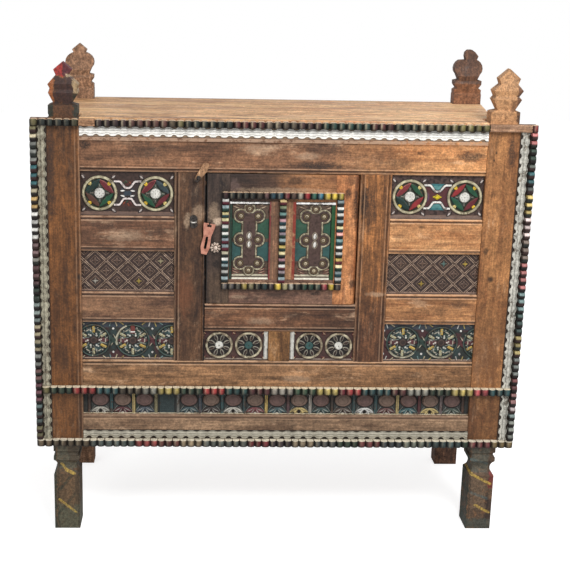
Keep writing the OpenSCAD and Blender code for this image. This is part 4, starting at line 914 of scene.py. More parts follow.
def lattice_panel(side, painted_stars):
    """Ridges where the folded coordinates meet; a star in each cell, a few with paint left on them."""
    b = Board(at_side(side, SIDE_X), LATTICE_Z, (54, 42, 39), 0.85)
    b.colour(patches(b, 0.2, 7.0, 64 + side), (48, 38, 37), 0.8, 0.5)
    p, q = b.u / DIAMOND_W + b.v / DIAMOND_H, b.u / DIAMOND_W - b.v / DIAMOND_H
    i, j = np.round(p), np.round(q)
    p, q = p - i, q - j
    across = 1.0 / np.hypot(1 / DIAMOND_W, 1 / DIAMOND_H)
    edge = across * (0.5 - np.maximum(np.abs(p), np.abs(q)))
    line = (208, 180, 158)
    b.raised(np.abs(edge - 1.9) - 0.75, 2.4, line, 0.9, 0.95)
    b.raised(np.abs(edge - 10.0) - 0.6, 1.8, (156, 130, 112), 0.8, 0.85)
    u, v = (p + q) / 2 * DIAMOND_W, (p - q) / 2 * DIAMOND_H
    star = np.minimum(np.abs(u) + 2.4 * np.abs(v), np.abs(v) + 2.4 * np.abs(u)) - 8.0
    b.raised(star * 0.5, 2.2, (82, 65, 58), 1.2, 0.6)
    b.colour(np.abs(star * 0.5) - 0.5, (168, 142, 126), 0.8)
    for su, sv, colour in painted_stars:
        near = (np.abs(b.u - su) < DIAMOND_W / 3) & (np.abs(b.v - sv) < DIAMOND_H / 3)
        b.colour(star * 0.5 + 9.0 * (1 - near) - 0.3, colour, 0.9)
    sill_slope(b, 4.0, 4.0, (196, 162, 140), 0.8)
    carved_panel(b, "lattice_panel" + SIDES[side], 110 + side)


lattice_panel(-1, [(-84, -27, (150, 146, 136)), (28, -27, (150, 130, 60)), (84, 27, (150, 140, 110))])
lattice_panel(1, [(84, 27, (170, 144, 64)), (-28, -27, (160, 136, 60)), (28, 27, (80, 110, 104))])

# %% [markdown]
# ## Painted rosette panels
# Below, large circles overlap along the board. Each holds yellow bars, a dark middle ringed with
# white dots, and long leaves; the wedges between are maroon and blue-green.

# %% Rosette panels
ROSETTE_STEP, ROSETTE_R = 102.0, 42.0


def rosette(b, u, tone, arc_from, arc_to):
    """One circle of the row, with a cream arc painted between two angles."""
    b.colour(disc(b, u, 0, ROSETTE_R), tone, 0.95)
    for turn in range(6):
        angle = 30 + 60 * turn
        c, s = heading(angle)
        b.raised(leaf(b, *away(u, 22, angle), angle, 40, 16), 1.6, SOOT, 1.4, 0.85)
        block = away(u, 30, angle)
        b.raised(bar(b, *block, angle, 17, 6.4), 3.4, YELLOW if turn % 2 else (196, 186, 140), 1.6)
        b.colour(bar(b, *block, angle, 15, 1.1), (120, 104, 46), 0.8)
        b.raised(bar(b, u + 25 * c - 7 * s, 25 * s + 7 * c, angle + 8, 17, 1.7), 2.0, (170, 176, 160), 0.8, 0.8)
        angle = 60 * turn
        petal = ((88, 42, 46), (36, 56, 48), (42, 66, 68))[turn % 3]
        b.raised(leaf(b, *away(u, 24, angle), angle, 32, 14), 2.6, petal, 2.2)
        b.raised(leaf(b, *away(u, 31, angle), angle + 90, 15, 2.8), 2.2, (190, 180, 156), 0.8, 0.8)
        b.raised(disc(b, *away(u, 15.5, angle), 2.5), 3.2, (206, 200, 186), 1.6)
        for off, reach in ((12, 35), (-14, 28), (8, 20)):
            b.raised(disc(b, *away(u, reach, angle + off), 1.9), 2.8, (200, 194, 178), 1.4)
        for off, reach, lean in ((22, 33, 70), (-22, 26, -60), (36, 19, 30)):
            dash = bar(b, *away(u, reach, angle + off), angle + off + lean, 13, 1.5)
            b.raised(dash, 2.4, (132, 152, 142), 0.8, 0.85)
    b.raised(disc(b, u, 0, 10.5), 2.8, (52, 40, 36), 3.0)
    b.colour(ring(b, u, 0, 7.0, 1.2), (96, 72, 60))
    b.raised(ring(b, u, 0, ROSETTE_R, 4.6), 4.2, (62, 82, 76), 2.2)
    angle = np.degrees(np.arctan2(b.v, b.u - u)) % 360
    middle, reach = (arc_from + arc_to) / 2, (arc_to - arc_from) / 2
    off = np.abs((angle - middle + 180) % 360 - 180) - reach
    b.colour(np.maximum(ring(b, u, 0, ROSETTE_R, 6.2), off * 0.6), (204, 198, 170))
    ticks = np.abs(((angle / 4.5) % 1.0) - 0.5) * 4.5 * 0.6 - 0.8
    b.colour(np.maximum(np.maximum(ring(b, u, 0, ROSETTE_R - 1.4, 2.6), off * 0.6), ticks), (112, 108, 84), 0.8)


def rosette_panel(side, shift, arcs):
    """The row of circles, the blue band above them, and the small slashes and dots that fill the corners."""
    b = Board(at_side(side, SIDE_X), ROSETTES_Z, (34, 44, 42))
    patch = unevenness(b.u, b.v, 19.0, 7 + side)
    b.colour(0.25 - patch, (70, 38, 42), 0.9, 0.4)
    b.colour(patch + 0.45, (42, 64, 64), 0.9, 0.4)
    b.colour(np.abs(b.v - 43) - 7.5 - 2 * patch, (48, 62, 74), 0.85)
    for k in (-1, 0, 1, 2):
        u = shift + (k - 0.5) * ROSETTE_STEP
        for v in (-44, 44):
            for tilt in (-52, -18, 18, 52):
                sign = 1 if v < 0 else -1
                colour = (CHALK, CREAM, (190, 168, 84), PALE_TEAL)[(k + tilt // 18) % 4]
                stick = bar(b, u + 0.42 * tilt, v - sign * 0.06 * abs(tilt), 90 - sign * tilt, 14, 2.9)
                b.raised(stick, 2.2, colour, 1.0, 0.85)
            b.raised(disc(b, u, v + (12 if v < 0 else -12), 3.0), 2.8, OLD_WHITE, 1.4)
        for tilt in (-35, 35):
            b.raised(leaf(b, u, 0, 90 + tilt, 42, 9), 2.4, (84, 40, 44) if k % 2 else (40, 60, 52), 2.0)
            b.raised(leaf(b, u + 0.1 * tilt, 0.3 * tilt, 90 + tilt, 16, 2.6), 3.0, (200, 190, 160), 0.8, 0.8)
    for k, (a0, a1) in zip((-1, 0, 1), arcs):
        rosette(b, shift + k * ROSETTE_STEP, ((34, 48, 48), (30, 56, 56), (34, 52, 48))[k + 1], a0, a1)
    b.aged(0.92, 0.2)
    if side < 0:
        b.raised(bar(b, shift, 30, 90, 22, 12), 2.6, (104, 50, 46), 1.6, 0.9)
        b.raised(bar(b, shift, 24, 0, 12, 3.2), 3.2, OLD_WHITE, 1.0)
    sill_slope(b, 4.0, 3.5, (222, 192, 170), 0.85)
    carved_panel(b, "rosette_panel" + SIDES[side], 120 + side)


rosette_panel(-1, 12.0, [(265, 268), (112, 196), (200, 214)])
rosette_panel(1, 34.0, [(215, 318), (210, 322), (150, 152)])

# %% [markdown]
# ## Disc panels under the door
# Two small panels carry a pair of leafy discs each, with a white upright strip beside the muntin.

# %% Disc panels
DISC_STEP, DISC_R, DISC_RIM, DISC_LEAF_OUT = 38.75, 33.0, 6.4, 22


def leafy_disc(b, u, hub, between):
    """A cream ring, eight leaf loops on black, and a hub."""
    b.colour(disc(b, u, 0, 36), SOOT)
    for k in range(8):
        angle = 22.5 + 45 * k
        loop = away(u, DISC_LEAF_OUT, angle)
        form = leaf(b, *loop, angle, 22, 9.5)
        b.raised(form, 2.6, SOOT, 2.0)
        b.colour(np.abs(form + 0.9) - 0.75, (168, 162, 146), 0.85)
        b.colour(leaf(b, *loop, angle, 10, 2.6), between, 0.8)
    rim = ring(b, u, 0, DISC_R, DISC_RIM)
    b.raised(rim, 4.4, (184, 174, 148), 2.0)
    b.colour(np.maximum(rim, patches(b, 0.1, 9.0, 33)), (140, 126, 104), 0.8, 0.6)
    core = disc(b, u, 0, 11.0)
    b.raised(core, 4.2, hub, 3.0)
    b.colour(disc(b, u, 0, 1.5), UMBER)


def disc_panel(side):
    """One panel: its two discs, the white strip, and leaves in the corners."""
    x = at_side(side, DISCS_X)
    b = Board(x, DISCS_Z, (66, 44, 42))
    middle = side * (DISCS_X[1] - 2 * DISC_STEP) - (x[0] + x[1]) / 2
    for k in (-1, 1):
        for v in (-34, 34):
            for du in (-38.8, 38.8):
                lean = 45 if (du > 0) == (v > 0) else -45
                b.raised(leaf(b, middle + k * DISC_STEP + du, v, lean, 15, 6), 2.2, MAROON, 1.6)
                b.colour(leaf(b, middle + k * DISC_STEP + du, v, lean, 9, 1.6), CREAM, 0.8)
        leafy_disc(b, middle + k * DISC_STEP, CHALK if k == side else (50, 80, 78), (56, 38, 38))
    strip = bar(b, -side * 77.8, 0, 90, 79, 11.5)
    b.raised(strip, 4.0, CHALK, 2.2)
    b.colour(np.abs(strip + 3.4) - 0.35, GREY, 0.8)
    sill_slope(b, 4.0, 3.5, (206, 190, 172))
    carved_panel(b, "disc_panel" + SIDES[side], 130 + side)


for side in (-1, 1):
    disc_panel(side)

# %% [markdown]
# ## Frieze
# Low across the front runs a row of round flowers between thin columns, each flower standing on a
# fan of leaves. One bay is a plain chequered block, where an old repair was let in.

# %% Frieze panel
COLUMN_PITCH, COLUMN_W, COLUMN_TALL, CHEQUER, PALE_FROM = 58.6, 8.0, 66, 5.4, 0.8
DARK_TEAL, DEEP_BROWN, STRAW = (42, 80, 82), (62, 48, 44), (204, 176, 88)
COLUMNS = (
    DEEP_BROWN, TEAL, STRAW, (150, 140, 90), GREY, SLATE, TEAL, DARK_TEAL, YELLOW, (98, 66, 72), (168, 160, 146),
    (56, 52, 46), DARK_TEAL, TEAL, STRAW, MAROON, (118, 102, 102), DEEP_BROWN)
FANS = (
    (178, 172, 156), MAROON, SLATE, SLATE, (54, 80, 84), DEEP_BROWN, (190, 184, 168), (122, 50, 54), (56, 88, 92),
    STRAW, (50, 76, 72), (84, 66, 56), CHALK, (100, 52, 50), TEAL, STRAW, (60, 78, 66))


def frieze():
    """Flowers, columns and fans repeat along the board; the tones change from bay to bay."""
    b = Board(FRIEZE_X, FRIEZE_Z, (48, 56, 55), grid=1.0)
    for k, tone in zip(range(-9, 9), COLUMNS):
        u = (k + 0.5) * COLUMN_PITCH
        for du in (-8, 8):
            b.raised(leaf(b, u + du, 27, 90 - 5 * du, 14, 6), 2.2, (140, 142, 132), 1.4, 0.8)
        b.raised(bar(b, u, 0, 90, COLUMN_TALL, COLUMN_W), 4.4, tone, 2.2)
        b.colour(bar(b, u, 0, 90, COLUMN_TALL, 1.2), (60, 54, 48), 0.4)
    b.raised(bar(b, -6.5 * COLUMN_PITCH + 9.5, 0, 90, COLUMN_TALL, 9), 4.0, (24, 48, 40), 2.2)
    for k, fan in zip(range(-8, 9), FANS):
        u = k * COLUMN_PITCH
        if k == -5:
            b.raised(bar(b, u, 0, 0, 40, 58), 3.0, (44, 60, 60), 2.0)
            across, up = (b.u - u) / CHEQUER, b.v / CHEQUER
            cell = np.maximum(np.abs(across - np.round(across)), np.abs(up - np.round(up)))
            b.sunk(np.maximum((0.34 - cell) * CHEQUER - 0.4 + 9.0 * (cell > 0.5), bar(b, u, 0, 0, 38, 56)), 0.9)
            continue
        pale = sum(tint(fan)) > PALE_FROM
        for tilt in (-62, -30, 30, 62):
            c, s = heading(tilt - 90)
            b.raised(leaf(b, u + 14 * c, -14 + 13 * s, tilt - 90, 30, 9.5), 3.0, fan, 2.0)
            b.colour(leaf(b, u + 14 * c, -14 + 13 * s, tilt - 90, 20, 1.6), SOOT if pale else (176, 176, 164), 0.8)
        if pale:
            b.sunk(leaf(b, u, -25, 90, 14, 9), 2.5, SOOT)
        else:
            b.raised(disc(b, u, -31, 5.0), 3.0, (188, 180, 160), 2.0, 0.9)
        flower = np.hypot((b.u - u) / 1.22, b.v - 8) - 18.2
        b.colour(np.abs(flower - 1.0) - 1.4, (34, 36, 35))
        b.raised(flower, 4.6, (122, 94, 76) if k % 2 else (110, 78, 70), 4.0)
        b.colour(np.abs(flower + 7.0) - 0.5, (90, 66, 56), 0.6)
        for du in (-1, 1):
            b.raised(bar(b, u + du * 20.5, -18, 90 + du * 38, 20, 1.6), 2.2, (150, 156, 148), 0.8, 0.8)
    b.aged(0.86, 0.3)
    b.raised(bar(b, 0, -30.4, 0, 1040, 2.8), 3.2, (196, 182, 156), 1.2)
    carved_panel(b, "frieze_panel", 140)


frieze()

# %% [markdown]
# ## Door panels
# The door holds two tall panels. On each a dark band swells into three pairs of round lobes, a
# cream line runs round it, and a small button sits in every lobe. Greens and blues fill the sides.

# %% Door panels
DOOR_PANEL_X, DOOR_PANEL_Z, DOOR_PANEL_DEPTHS = (34.0, 135.0), (702.0, 907.0), (-0.221, -0.213)
KNOT_R, KNOT_OFF, KNOT_STEP, KNOT_UP, BAND_HALF = 14.6, 22.0, 62.0, 1.5, 16.0


def door_panel(side):
    """The knot: a band joined to six lobes and two end lobes, by the least of their distances."""
    b = Board(at_side(side, DOOR_PANEL_X), DOOR_PANEL_Z, (88, 72, 60), grid=0.75, housed=5.0)
    mottle = unevenness(b.u, b.v, 4.0, 90 + side)
    b.colour(0.3 - mottle, (60, 46, 40), 0.8, 0.5)
    b.v = b.v - KNOT_UP
    b.colour(np.maximum(np.abs(b.v - 29) - 26, -0.3 - 0.5 * mottle), (44, 84, 68), 0.95)
    b.colour(np.abs(b.v - 29) - 25, (38, 78, 62), 0.9)
    b.colour(np.abs(b.v + 31) - 25, (44, 80, 78), 0.95)
    lobes = [(s * KNOT_OFF, row * KNOT_STEP) for row in (-1, 0, 1) for s in (-1, 1)]
    ends = [(0, s * (KNOT_STEP + 19.0)) for s in (-1, 1)]
    knot = np.maximum(np.abs(b.u) - BAND_HALF, np.abs(b.v) - KNOT_STEP - 8)
    for u, v in lobes:
        knot = np.minimum(knot, disc(b, u, v, KNOT_R))
    for u, v in ends:
        knot = np.minimum(knot, disc(b, u, v, 11.0))
    b.colour(knot - 5.5, (48, 40, 34), 0.8)
    b.raised(knot, 2.0, (76, 58, 53), 2.0, 0.95)
    b.colour(np.maximum(knot, 0.3 - mottle), (54, 41, 38), 0.8, 0.5)
    outline = np.abs(knot - 1.9)
    b.raised(outline - 2.1, 3.8, (210, 202, 172), 1.6)
    b.colour(np.maximum(outline - 2.1, -0.15 - mottle), (164, 154, 128), 0.8, 0.5)
    b.colour(outline - 0.35, (120, 108, 86), 0.5)
    for u, v in lobes + ends:
        end_lobe = (u, v) in ends
        b.colour(disc(b, u, v, 8.6 if end_lobe else 10.2), (44, 34, 32), 0.95)
        b.colour(ring(b, u, v, 7.2, 1.7), (112, 92, 60))
        b.raised(ring(b, u, v, 7.2, 1.9), 3.0, None, 0.9)
        b.raised(disc(b, u, v, 4.4), 4.8, (216, 202, 172), 2.4)
        b.colour(ring(b, u, v, 2.4, 0.9), (140, 116, 84), 0.8)
        b.colour(disc(b, u, v, 1.2), SOOT)
        b.sunk(disc(b, u, v, 1.0), 0.8)
    for v in (10.5, -11.5):
        bud = leaf(b, 0, v, 90, 22, 15)
        b.raised(bud, 2.6, (74, 60, 56), 1.2)
        b.colour(np.abs(bud + 0.8) - 0.6, (170, 158, 136), 0.8)
        b.raised(leaf(b, 0, v, 84, 15, 7.4), 3.6, (224, 220, 212), 2.0)
        b.colour(leaf(b, 1.2, v, 84, 9, 1.4), GREY, 0.7)
    for su in (-1, 1):
        for v in (-93, -86, -79, 84, 92):
            b.raised(leaf(b, su * 34, v, su * 20, 22, 3.4), 1.6, (124, 54, 46) if v < 0 else (130, 104, 84), 0.8)
            b.colour(leaf(b, su * 34, v, su * 20, 14, 1.3), (200, 186, 160), 0.8)
    b.v = b.v + KNOT_UP
    foot = b.v + b.half[1]
    b.height = np.maximum(b.height, 4.6 * np.clip(1 - foot / 13.0, 0, 1))
    b.colour(foot - 12.5, (196, 188, 164), 0.85)
    b.colour(np.abs(foot - 6.5) - 1.8, (66, 54, 44), 0.9)
    b.colour(foot - 3.6, (228, 222, 206))
    edge_w = 10.5 if side > 0 else 6.5
    green_edge = b.half[0] - edge_w - b.u * side
    b.colour(green_edge, (36, 78, 46) if side > 0 else (40, 58, 48))
    b.raised(green_edge, 5.0, None, 3.0)
    b.colour(np.abs(green_edge) - 0.6, (24, 26, 22))
    # The dark band below the white fillet at the panel's head is painted shadow.
    head = b.half[1] - b.v
    b.colour(head - 9.5, (20, 15, 14), 0.95)
    b.raised(np.abs(head - 4.2) - 3.0, 5.5, (252, 250, 246), 1.4)
    b.colour(head - 0.8, SOOT)
    carved_panel(b, "door_panel" + SIDES[side], 150 + side, *DOOR_PANEL_DEPTHS, "door")


for side in (-1, 1):
    door_panel(side)

# %% [markdown]
# ## Lobed strips
# The borders are battens cut into half-round lobes, each painted with one quick touch of the brush,
# two or three to a colour. The saw left their upper faces bare. In plan every lobe is a circle of
# radius LOBE_R of the spacing with a flat notch between; the skin's rings run along the strip.

# %% Lobed strips
LOBE_R, LOBE_DEEPER = 0.465, 0.8
TOP_BORDER, BEAD_BACK, DOOR_FACE = 1094, -231.0, -228.0
DULL_GREEN, DULL_TEAL, DULL_MAROON, DULL_RED = (44, 58, 46), (44, 74, 76), (78, 42, 42), (150, 52, 50)
DULL_OLIVE, DULL_YELLOW, ASH, DEEP = (106, 98, 62), (176, 156, 86), (84, 88, 82), (36, 42, 38)
BARK, STONE = (92, 78, 60), (128, 126, 116)


def strip(name, place, section, across, back, upright, material, body, slot, sharp, node=None,
          paint=None, ends=None, **marks):
    """A solid batten along x, or z if upright. Each ring of its skin is the section, given as (across, out from the
    back) in millimetres; paint and marks are given for every point of every ring."""
    rings = np.empty((len(place), len(section), 3))
    for k, (at, front) in enumerate(section):
        rings[:, k, 1] = back - front
        rings[:, k, 2 if upright else 0] = place
        rings[:, k, 0 if upright else 2] = across + at
    points, quads, fans = closed_rings(rings * MM)
    if paint is not None:
        paint = np.concatenate([paint.reshape(-1, 4), np.tile(ends, (2, 1))])
    marks = {mark: np.append(values.ravel(), [0, 0]) for mark, values in marks.items()}
    piece = skin(name, points, quads, fans, material, body, slot, sharp, paint, **marks)
    if node:
        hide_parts(node)
    print(name, len(place), "rings")


def lobe_profile(n):
    """Places along n lobes (0 to n), the lobe of each, its offset from that lobe's middle, and the cut
    there: r - sqrt(r^2 - offset^2) on the round part, r in the notch."""
    arc = LOBE_R * np.sin(np.linspace(-np.pi / 2, np.pi / 2, 11))
    steps = np.concatenate([[-0.5], arc])
    along = np.append((np.arange(n)[:, None] + 0.5 + steps[None, :]).ravel(), float(n))
    lobe = np.minimum(np.floor(along + 1e-9), n - 1).astype(int)
    offset = along - lobe - 0.5
    cut = LOBE_R - np.sqrt(np.maximum(LOBE_R ** 2 - offset ** 2, 0))
    return along, lobe, offset, cut


def lobed_strip(name, start, end, across, colours, seed, node=None, *, width=18, back=BEAD_BACK, out=18,
                body="cabinet", upright=False, step_about=20.0, under=(), bare=0.3, ledge=DUSTY, crown=0.0):
    """A strip from start to end along x (or z), its lower or left edge at across, in millimetres. On an upright
    strip the lower half of each lobe is painted shade, a dark colour out of under. On a level strip each lobe
    carries a painted highlight at its crown and painted shade towards its notches, and bare is how strong a
    pale streak beside the crown is, part worn paint and part painted highlight. Every strip has painted shade
    in its notches and along its front edge at across. crown is how far the lobes' heads are rounded off."""
    n = int(round(abs(end - start) / step_about))
    step = (end - start) / n
    along, lobe, offset, cut = lobe_profile(n)
    rng = np.random.default_rng(seed)
    jitter = np.concatenate([[0], rng.uniform(-0.06, 0.06, n - 1), [0]])
    place = start + step * (along + np.interp(along, np.arange(n + 1), jitter))
    swell = 1 - rng.uniform(0.0, 0.08, n)
    depth = np.maximum((out - abs(step) * cut * LOBE_DEEPER) * swell[lobe], 0.3 * out)
    wide = width * (1 - 0.02 * unevenness(along, 0 * along, 3.0, seed + 5))
    head = wide - crown * eased((np.abs(offset) - 0.2) / 0.3)
    section = [(0 * wide, 0 * depth), (0 * wide, depth - 1.6), (0 * wide + 1.1, depth), (0.35 * wide, depth + 0.5),
               (0.7 * wide, depth + 0.35), (head - 1.5, depth), (head - 0.9, depth - 0.3), (head - 0.4, depth - 0.8),
               (head, depth - 1.9), (head, 0 * depth)]
    tones = np.array([tint(c) for c in colours])
    tone = tones[lobe * len(tones) // n if len(tones) != n else lobe]
    tone = tone + 0.22 * (tone.mean(axis=1, keepdims=True) - tone)
    tone = tone * (0.92 + 0.3 * rng.uniform(-1, 1, n))[lobe][:, None]
    # Painted shade: on an upright strip the lower half of each lobe takes a dark colour.
    if under:
        dark = np.array([tint(c) for c in under])[rng.integers(0, len(under), n)][lobe]
        tone = tone + eased((0.06 - offset * np.sign(step)) / 0.07)[:, None] * (dark - tone)
    else:
        tone = tone + 0.2 * (tone - tone.mean(axis=1, keepdims=True))
        # Painted highlight at each lobe's crown, and painted shade towards its notches.
        tone = tone * (1.15 - 0.85 * eased((np.abs(offset - 0.05) - 0.06) / 0.36))[:, None]
        # A pale streak beside the crown: part worn paint, part painted highlight.
        worn_streak_and_highlight = bare * rng.uniform(0.1, 1.0, n)[lobe] * np.exp(-((offset + 0.12) / 0.1) ** 2)
        tone = tone + worn_streak_and_highlight[:, None] * (np.array(tint((206, 190, 160))) - tone)
    paint = np.ones((len(along), len(section), 4))
    paint[:, :, :3] = tone[:, None, :]
    # Painted shade: the paint in the notches between lobes is darkened towards soot.
    notch = np.abs(offset) > 0.46
    paint[notch, :, :3] = 0.3 * paint[notch, :, :3] + 0.5 * np.array(tint(SOOT))
    rub = np.zeros((len(along), len(section)))
    rub[:, 3:6] = 0.3 * (1 - np.abs(offset) * 2)[:, None]
    # Painted shade in the notches and along the front edge at across, less on the upper faces.
    grime = np.repeat((0.6 * eased((np.abs(offset) - 0.4) / 0.08))[:, None], len(section), axis=1)
    grime[:, 7:] *= 0.3
    grime[:, 1] = np.maximum(grime[:, 1], 0.85)
    if not upright:
        paint[:, 7:, :3] = tint(ledge)
        # Painted shade on the bare upper faces in the notches.
        paint[notch, 7:, :3] = tint((120, 94, 74))
        paint[:, 0] = (*tint(UMBER), 1.0)
        # Painted shade along the lower front of a level strip.
        grime[:, 2] = np.maximum(grime[:, 2], 0.72)
        grime[:, 3] = np.maximum(grime[:, 3], 0.2)
    strip(name, place, section, across, back, upright, UPRIGHT_PAINT if upright else LOBE_PAINT, body,
          "painted_strip", 38, node, paint, (*tint(UMBER), 0.8), rub=rub, grime=grime)


def touches(*runs):
    """A colour for every lobe from (colour, how many lobes it was given) pairs."""
    return [colour for colour, count in runs for _ in range(count)]


lobe_wear = dict(wear=0.2, soot_and_shade=0.92, gloss=0.45, fade=0.35)
LOBE_PAINT = painted("lobe_paint", (110, 84, 64), (60, 44, 36), 41.0, **lobe_wear)
UPRIGHT_PAINT = painted("upright_lobe_paint", (110, 86, 68), (60, 44, 36), 42.0, grain="z", **lobe_wear)
lobed_strip("lobes_top_left", -635, -514, TOP_BORDER, touches((DULL_OLIVE, 1), (DEEP, 4), ((66, 64, 40), 1)), 1,
            "lobed_strip_top", crown=2.6)
top_run = touches(
    ((58, 38, 40), 4), ((86, 54, 48), 5), (BARK, 1), (DULL_OLIVE, 1), (DEEP, 6), ((84, 40, 40), 4), ((88, 76, 64), 4),
    ((60, 40, 40), 3), ((36, 58, 52), 6), (DULL_MAROON, 3), ((50, 58, 48), 3), ((110, 100, 78), 3),
    ((110, 102, 58), 6))
lobed_strip("lobes_top_run", -474, 514, TOP_BORDER, top_run, 2, bare=0.6, crown=2.6)
lobed_strip("lobe_top_right", 620, 635, TOP_BORDER, [(140, 60, 56)], 3, step_about=15.0)
middle = touches(
    (DULL_OLIVE, 1), (DULL_GREEN, 3), (DULL_RED, 3), (DULL_TEAL, 3), ((62, 54, 44), 3), (STONE, 2), (DULL_YELLOW, 3),
    (DULL_GREEN, 3), (DULL_RED, 3), ((42, 68, 66), 3), (DULL_MAROON, 3), ((156, 148, 136), 3), ((50, 70, 52), 3),
    (DULL_YELLOW, 3), ((104, 38, 46), 1), ((168, 60, 60), 2), (DULL_TEAL, 4), (DULL_MAROON, 2), (STONE, 3),
    (DULL_GREEN, 3), (DULL_YELLOW, 3), ((178, 76, 80), 2), (DULL_TEAL, 3))
lobed_strip("lobes_middle", -619, 619, 392, middle, 4, "lobed_strip_middle", ledge=(226, 212, 184))
low = touches(
    (BARK, 7), ((80, 90, 86), 6), ((142, 66, 62), 3), ((92, 52, 46), 3), ((140, 122, 96), 3), (ASH, 6),
    ((112, 44, 48), 3), ((58, 48, 50), 3), ((130, 114, 92), 3), ((72, 72, 70), 3), (DULL_GREEN, 3),
    ((110, 56, 56), 3), ((50, 54, 56), 3), ((112, 116, 104), 3), ((62, 78, 78), 5), (DULL_GREEN, 1),
    ((124, 64, 64), 3), ((110, 92, 58), 3))
lobed_strip("lobes_bottom", -635, 635, 244, low, 5, "lobed_strip_bottom", ledge=(222, 212, 190))
# The under colours are painted shade for the lower half of each lobe on the side strips.
side_strip = dict(width=15, upright=True, under=(SOOT, (30, 24, 24), (36, 40, 36), (52, 34, 32)))
left = touches(
    (DULL_OLIVE, 1), ((64, 76, 72), 2), ((90, 110, 108), 1), ((110, 66, 74), 3), ((98, 66, 62), 2), (GREY, 2),
    ((160, 146, 110), 3), ((132, 146, 140), 3), (DULL_GREEN, 2), ((92, 62, 62), 3), (STONE, 1), ((130, 100, 100), 2),
    (CHALK, 3), ((206, 164, 84), 2), (CREAM, 1), (TEAL, 3), ((128, 130, 122), 3), (CREAM, 1), (DULL_OLIVE, 1))
lobed_strip("lobes_left", 262, 1094, -635, left, 6, "lobed_strip_left", **side_strip)
right = touches(
    ((132, 136, 126), 2), ((124, 144, 140), 1), ((190, 172, 170), 1), ((166, 112, 110), 2), ((116, 62, 60), 2),
    ((120, 126, 120), 3), (DULL_YELLOW, 3), ((60, 84, 78), 3), ((120, 150, 148), 3), ((176, 100, 96), 3),
    ((130, 112, 98), 3), ((220, 196, 190), 3), ((214, 184, 88), 3), (ASH, 1), (TEAL, 2), ((120, 130, 118), 1),
    ((44, 62, 50), 2), ((206, 110, 106), 2))
lobed_strip("lobes_right", 262, 1094, 620, right, 7, "lobed_strip_right", **side_strip)

# %% [markdown]
# The door's own beads are smaller and brighter, because the door was repainted for feasts.

# %% Door beads
INK, SNOW, SKY, LEMON = (30, 34, 32), (214, 212, 202), (128, 148, 150), (216, 184, 64)
# Dark colours for the painted shade on the lower half of each upright door bead.
BEAD_SHADE_TONES = (INK, INK, (28, 52, 44), (84, 28, 40), (24, 56, 62))
top_tones = touches(
    ((58, 32, 34), 1), (INK, 4), ((66, 56, 46), 1), ((106, 74, 72), 1), ((38, 66, 76), 2), ((96, 40, 44), 1),
    ((70, 52, 44), 1), ((156, 146, 130), 1), ((176, 44, 50), 1), ((54, 102, 86), 1), ((48, 96, 112), 1), (LEMON, 2),
    ((190, 170, 70), 1))
bottom_tones = touches(
    ((88, 84, 84), 2), ((62, 60, 54), 1), ((168, 146, 70), 1), ((120, 110, 80), 1), (INK, 1), ((44, 62, 62), 1),
    ((60, 44, 50), 1), (LEMON, 1), ((150, 140, 100), 1), ((150, 146, 134), 1), (INK, 1), ((36, 62, 50), 2),
    ((60, 70, 60), 1), ((140, 56, 62), 1), (LEMON, 1), ((60, 50, 46), 1))
left_tones = [SKY, SNOW, SKY, CHALK, (206, 196, 160), SKY, (126, 140, 146), SNOW, CHALK, (214, 204, 140),
              (226, 206, 130), SKY, CHALK]
right_tones = [CHALK, SKY, (226, 206, 150), LEMON, SNOW, CHALK, (110, 148, 146), (222, 150, 140), (206, 196, 140),
               SKY, SNOW, SNOW, SKY]
centre_tones = [SKY, (150, 130, 134), SNOW, (180, 120, 130), (206, 190, 130), LEMON, SKY, (150, 130, 140), SNOW,
                (196, 140, 146), (110, 160, 150), (120, 130, 90), (220, 186, 110)]
bead = dict(width=17, back=DOOR_FACE, out=12, body="door", step_about=17.0)
lobed_strip("door_beads_top", -155, 155, 915, top_tones, 11, "door_lobed_frame", crown=1.2, **bead)
lobed_strip("door_beads_bottom", -155, 155, 677, bottom_tones, 12, crown=1.2, **bead)
for name, across, tones, seed, node in (("left", -155, left_tones, 13, None), ("right", 138, right_tones, 14, None),
                                        ("centre", -8.5, centre_tones, 15, "door_lobed_centre")):
    lobed_strip("door_beads_" + name, 694.2, 914.8, across, tones, seed, node, upright=True, under=BEAD_SHADE_TONES, **bead)

# %% [markdown]
# Two lengths of the top border are plain: a patch at the left, and a moulded band over the right post.

# %% Plain lengths of the top border


def plain_length(name, start, end, wood, seed):
    """A straight batten with a stepped face: its section is carried along x in small uneven steps."""
    along = np.linspace(start, end, max(8, int((end - start) / 4)))
    wave = 0.4 * unevenness(along, 0 * along, 9.0, seed)
    outline = [(0, 0), (12, 0), (13, 1.2), (13, 5), (11.6, 6), (11.6, 8), (13, 9), (13, 16.6), (12, 18), (0, 18)]
    section = [(up, front - wave if front else 0) for front, up in outline]
    strip(name, along, section, TOP_BORDER, BEAD_BACK, False, wood, "cabinet", "honey_wood", 30)


plain_length("plain_patch_left", -514, -474, timber("patch_wood", "x", (172, 130, 96), (84, 58, 42), 51.0), 61)
plain_length("plain_band_right", 514, 620, timber("band_wood", "x", (200, 158, 124), (104, 72, 54), 52.0), 62)
print("top border complete")

# %% [markdown]
# ## Scalloped bands
# Chalk-white bands run under the top border, over the foot and up beside the posts. Each was cut
# from a thin board: scallops along both edges, and a stack of shallow steps planed down its face.
# The skin's rings run along the band; the edge of each ring moves in and out with the scallops.

# %% Scalloped bands
CHALKY = painted("chalky_scallops", (150, 128, 104), (80, 62, 50), 61.0, wear=0.32, soot_and_shade=0.9, gloss=0.62, fade=0.2)
CHALKY_UPRIGHT = painted("chalky_upright_scallops", (120, 104, 84), (66, 54, 44), 62.0, grain="z", wear=0.48,
                         soot_and_shade=0.85, gloss=0.62, fade=0.42)
SCALLOP_THICK = 6.0


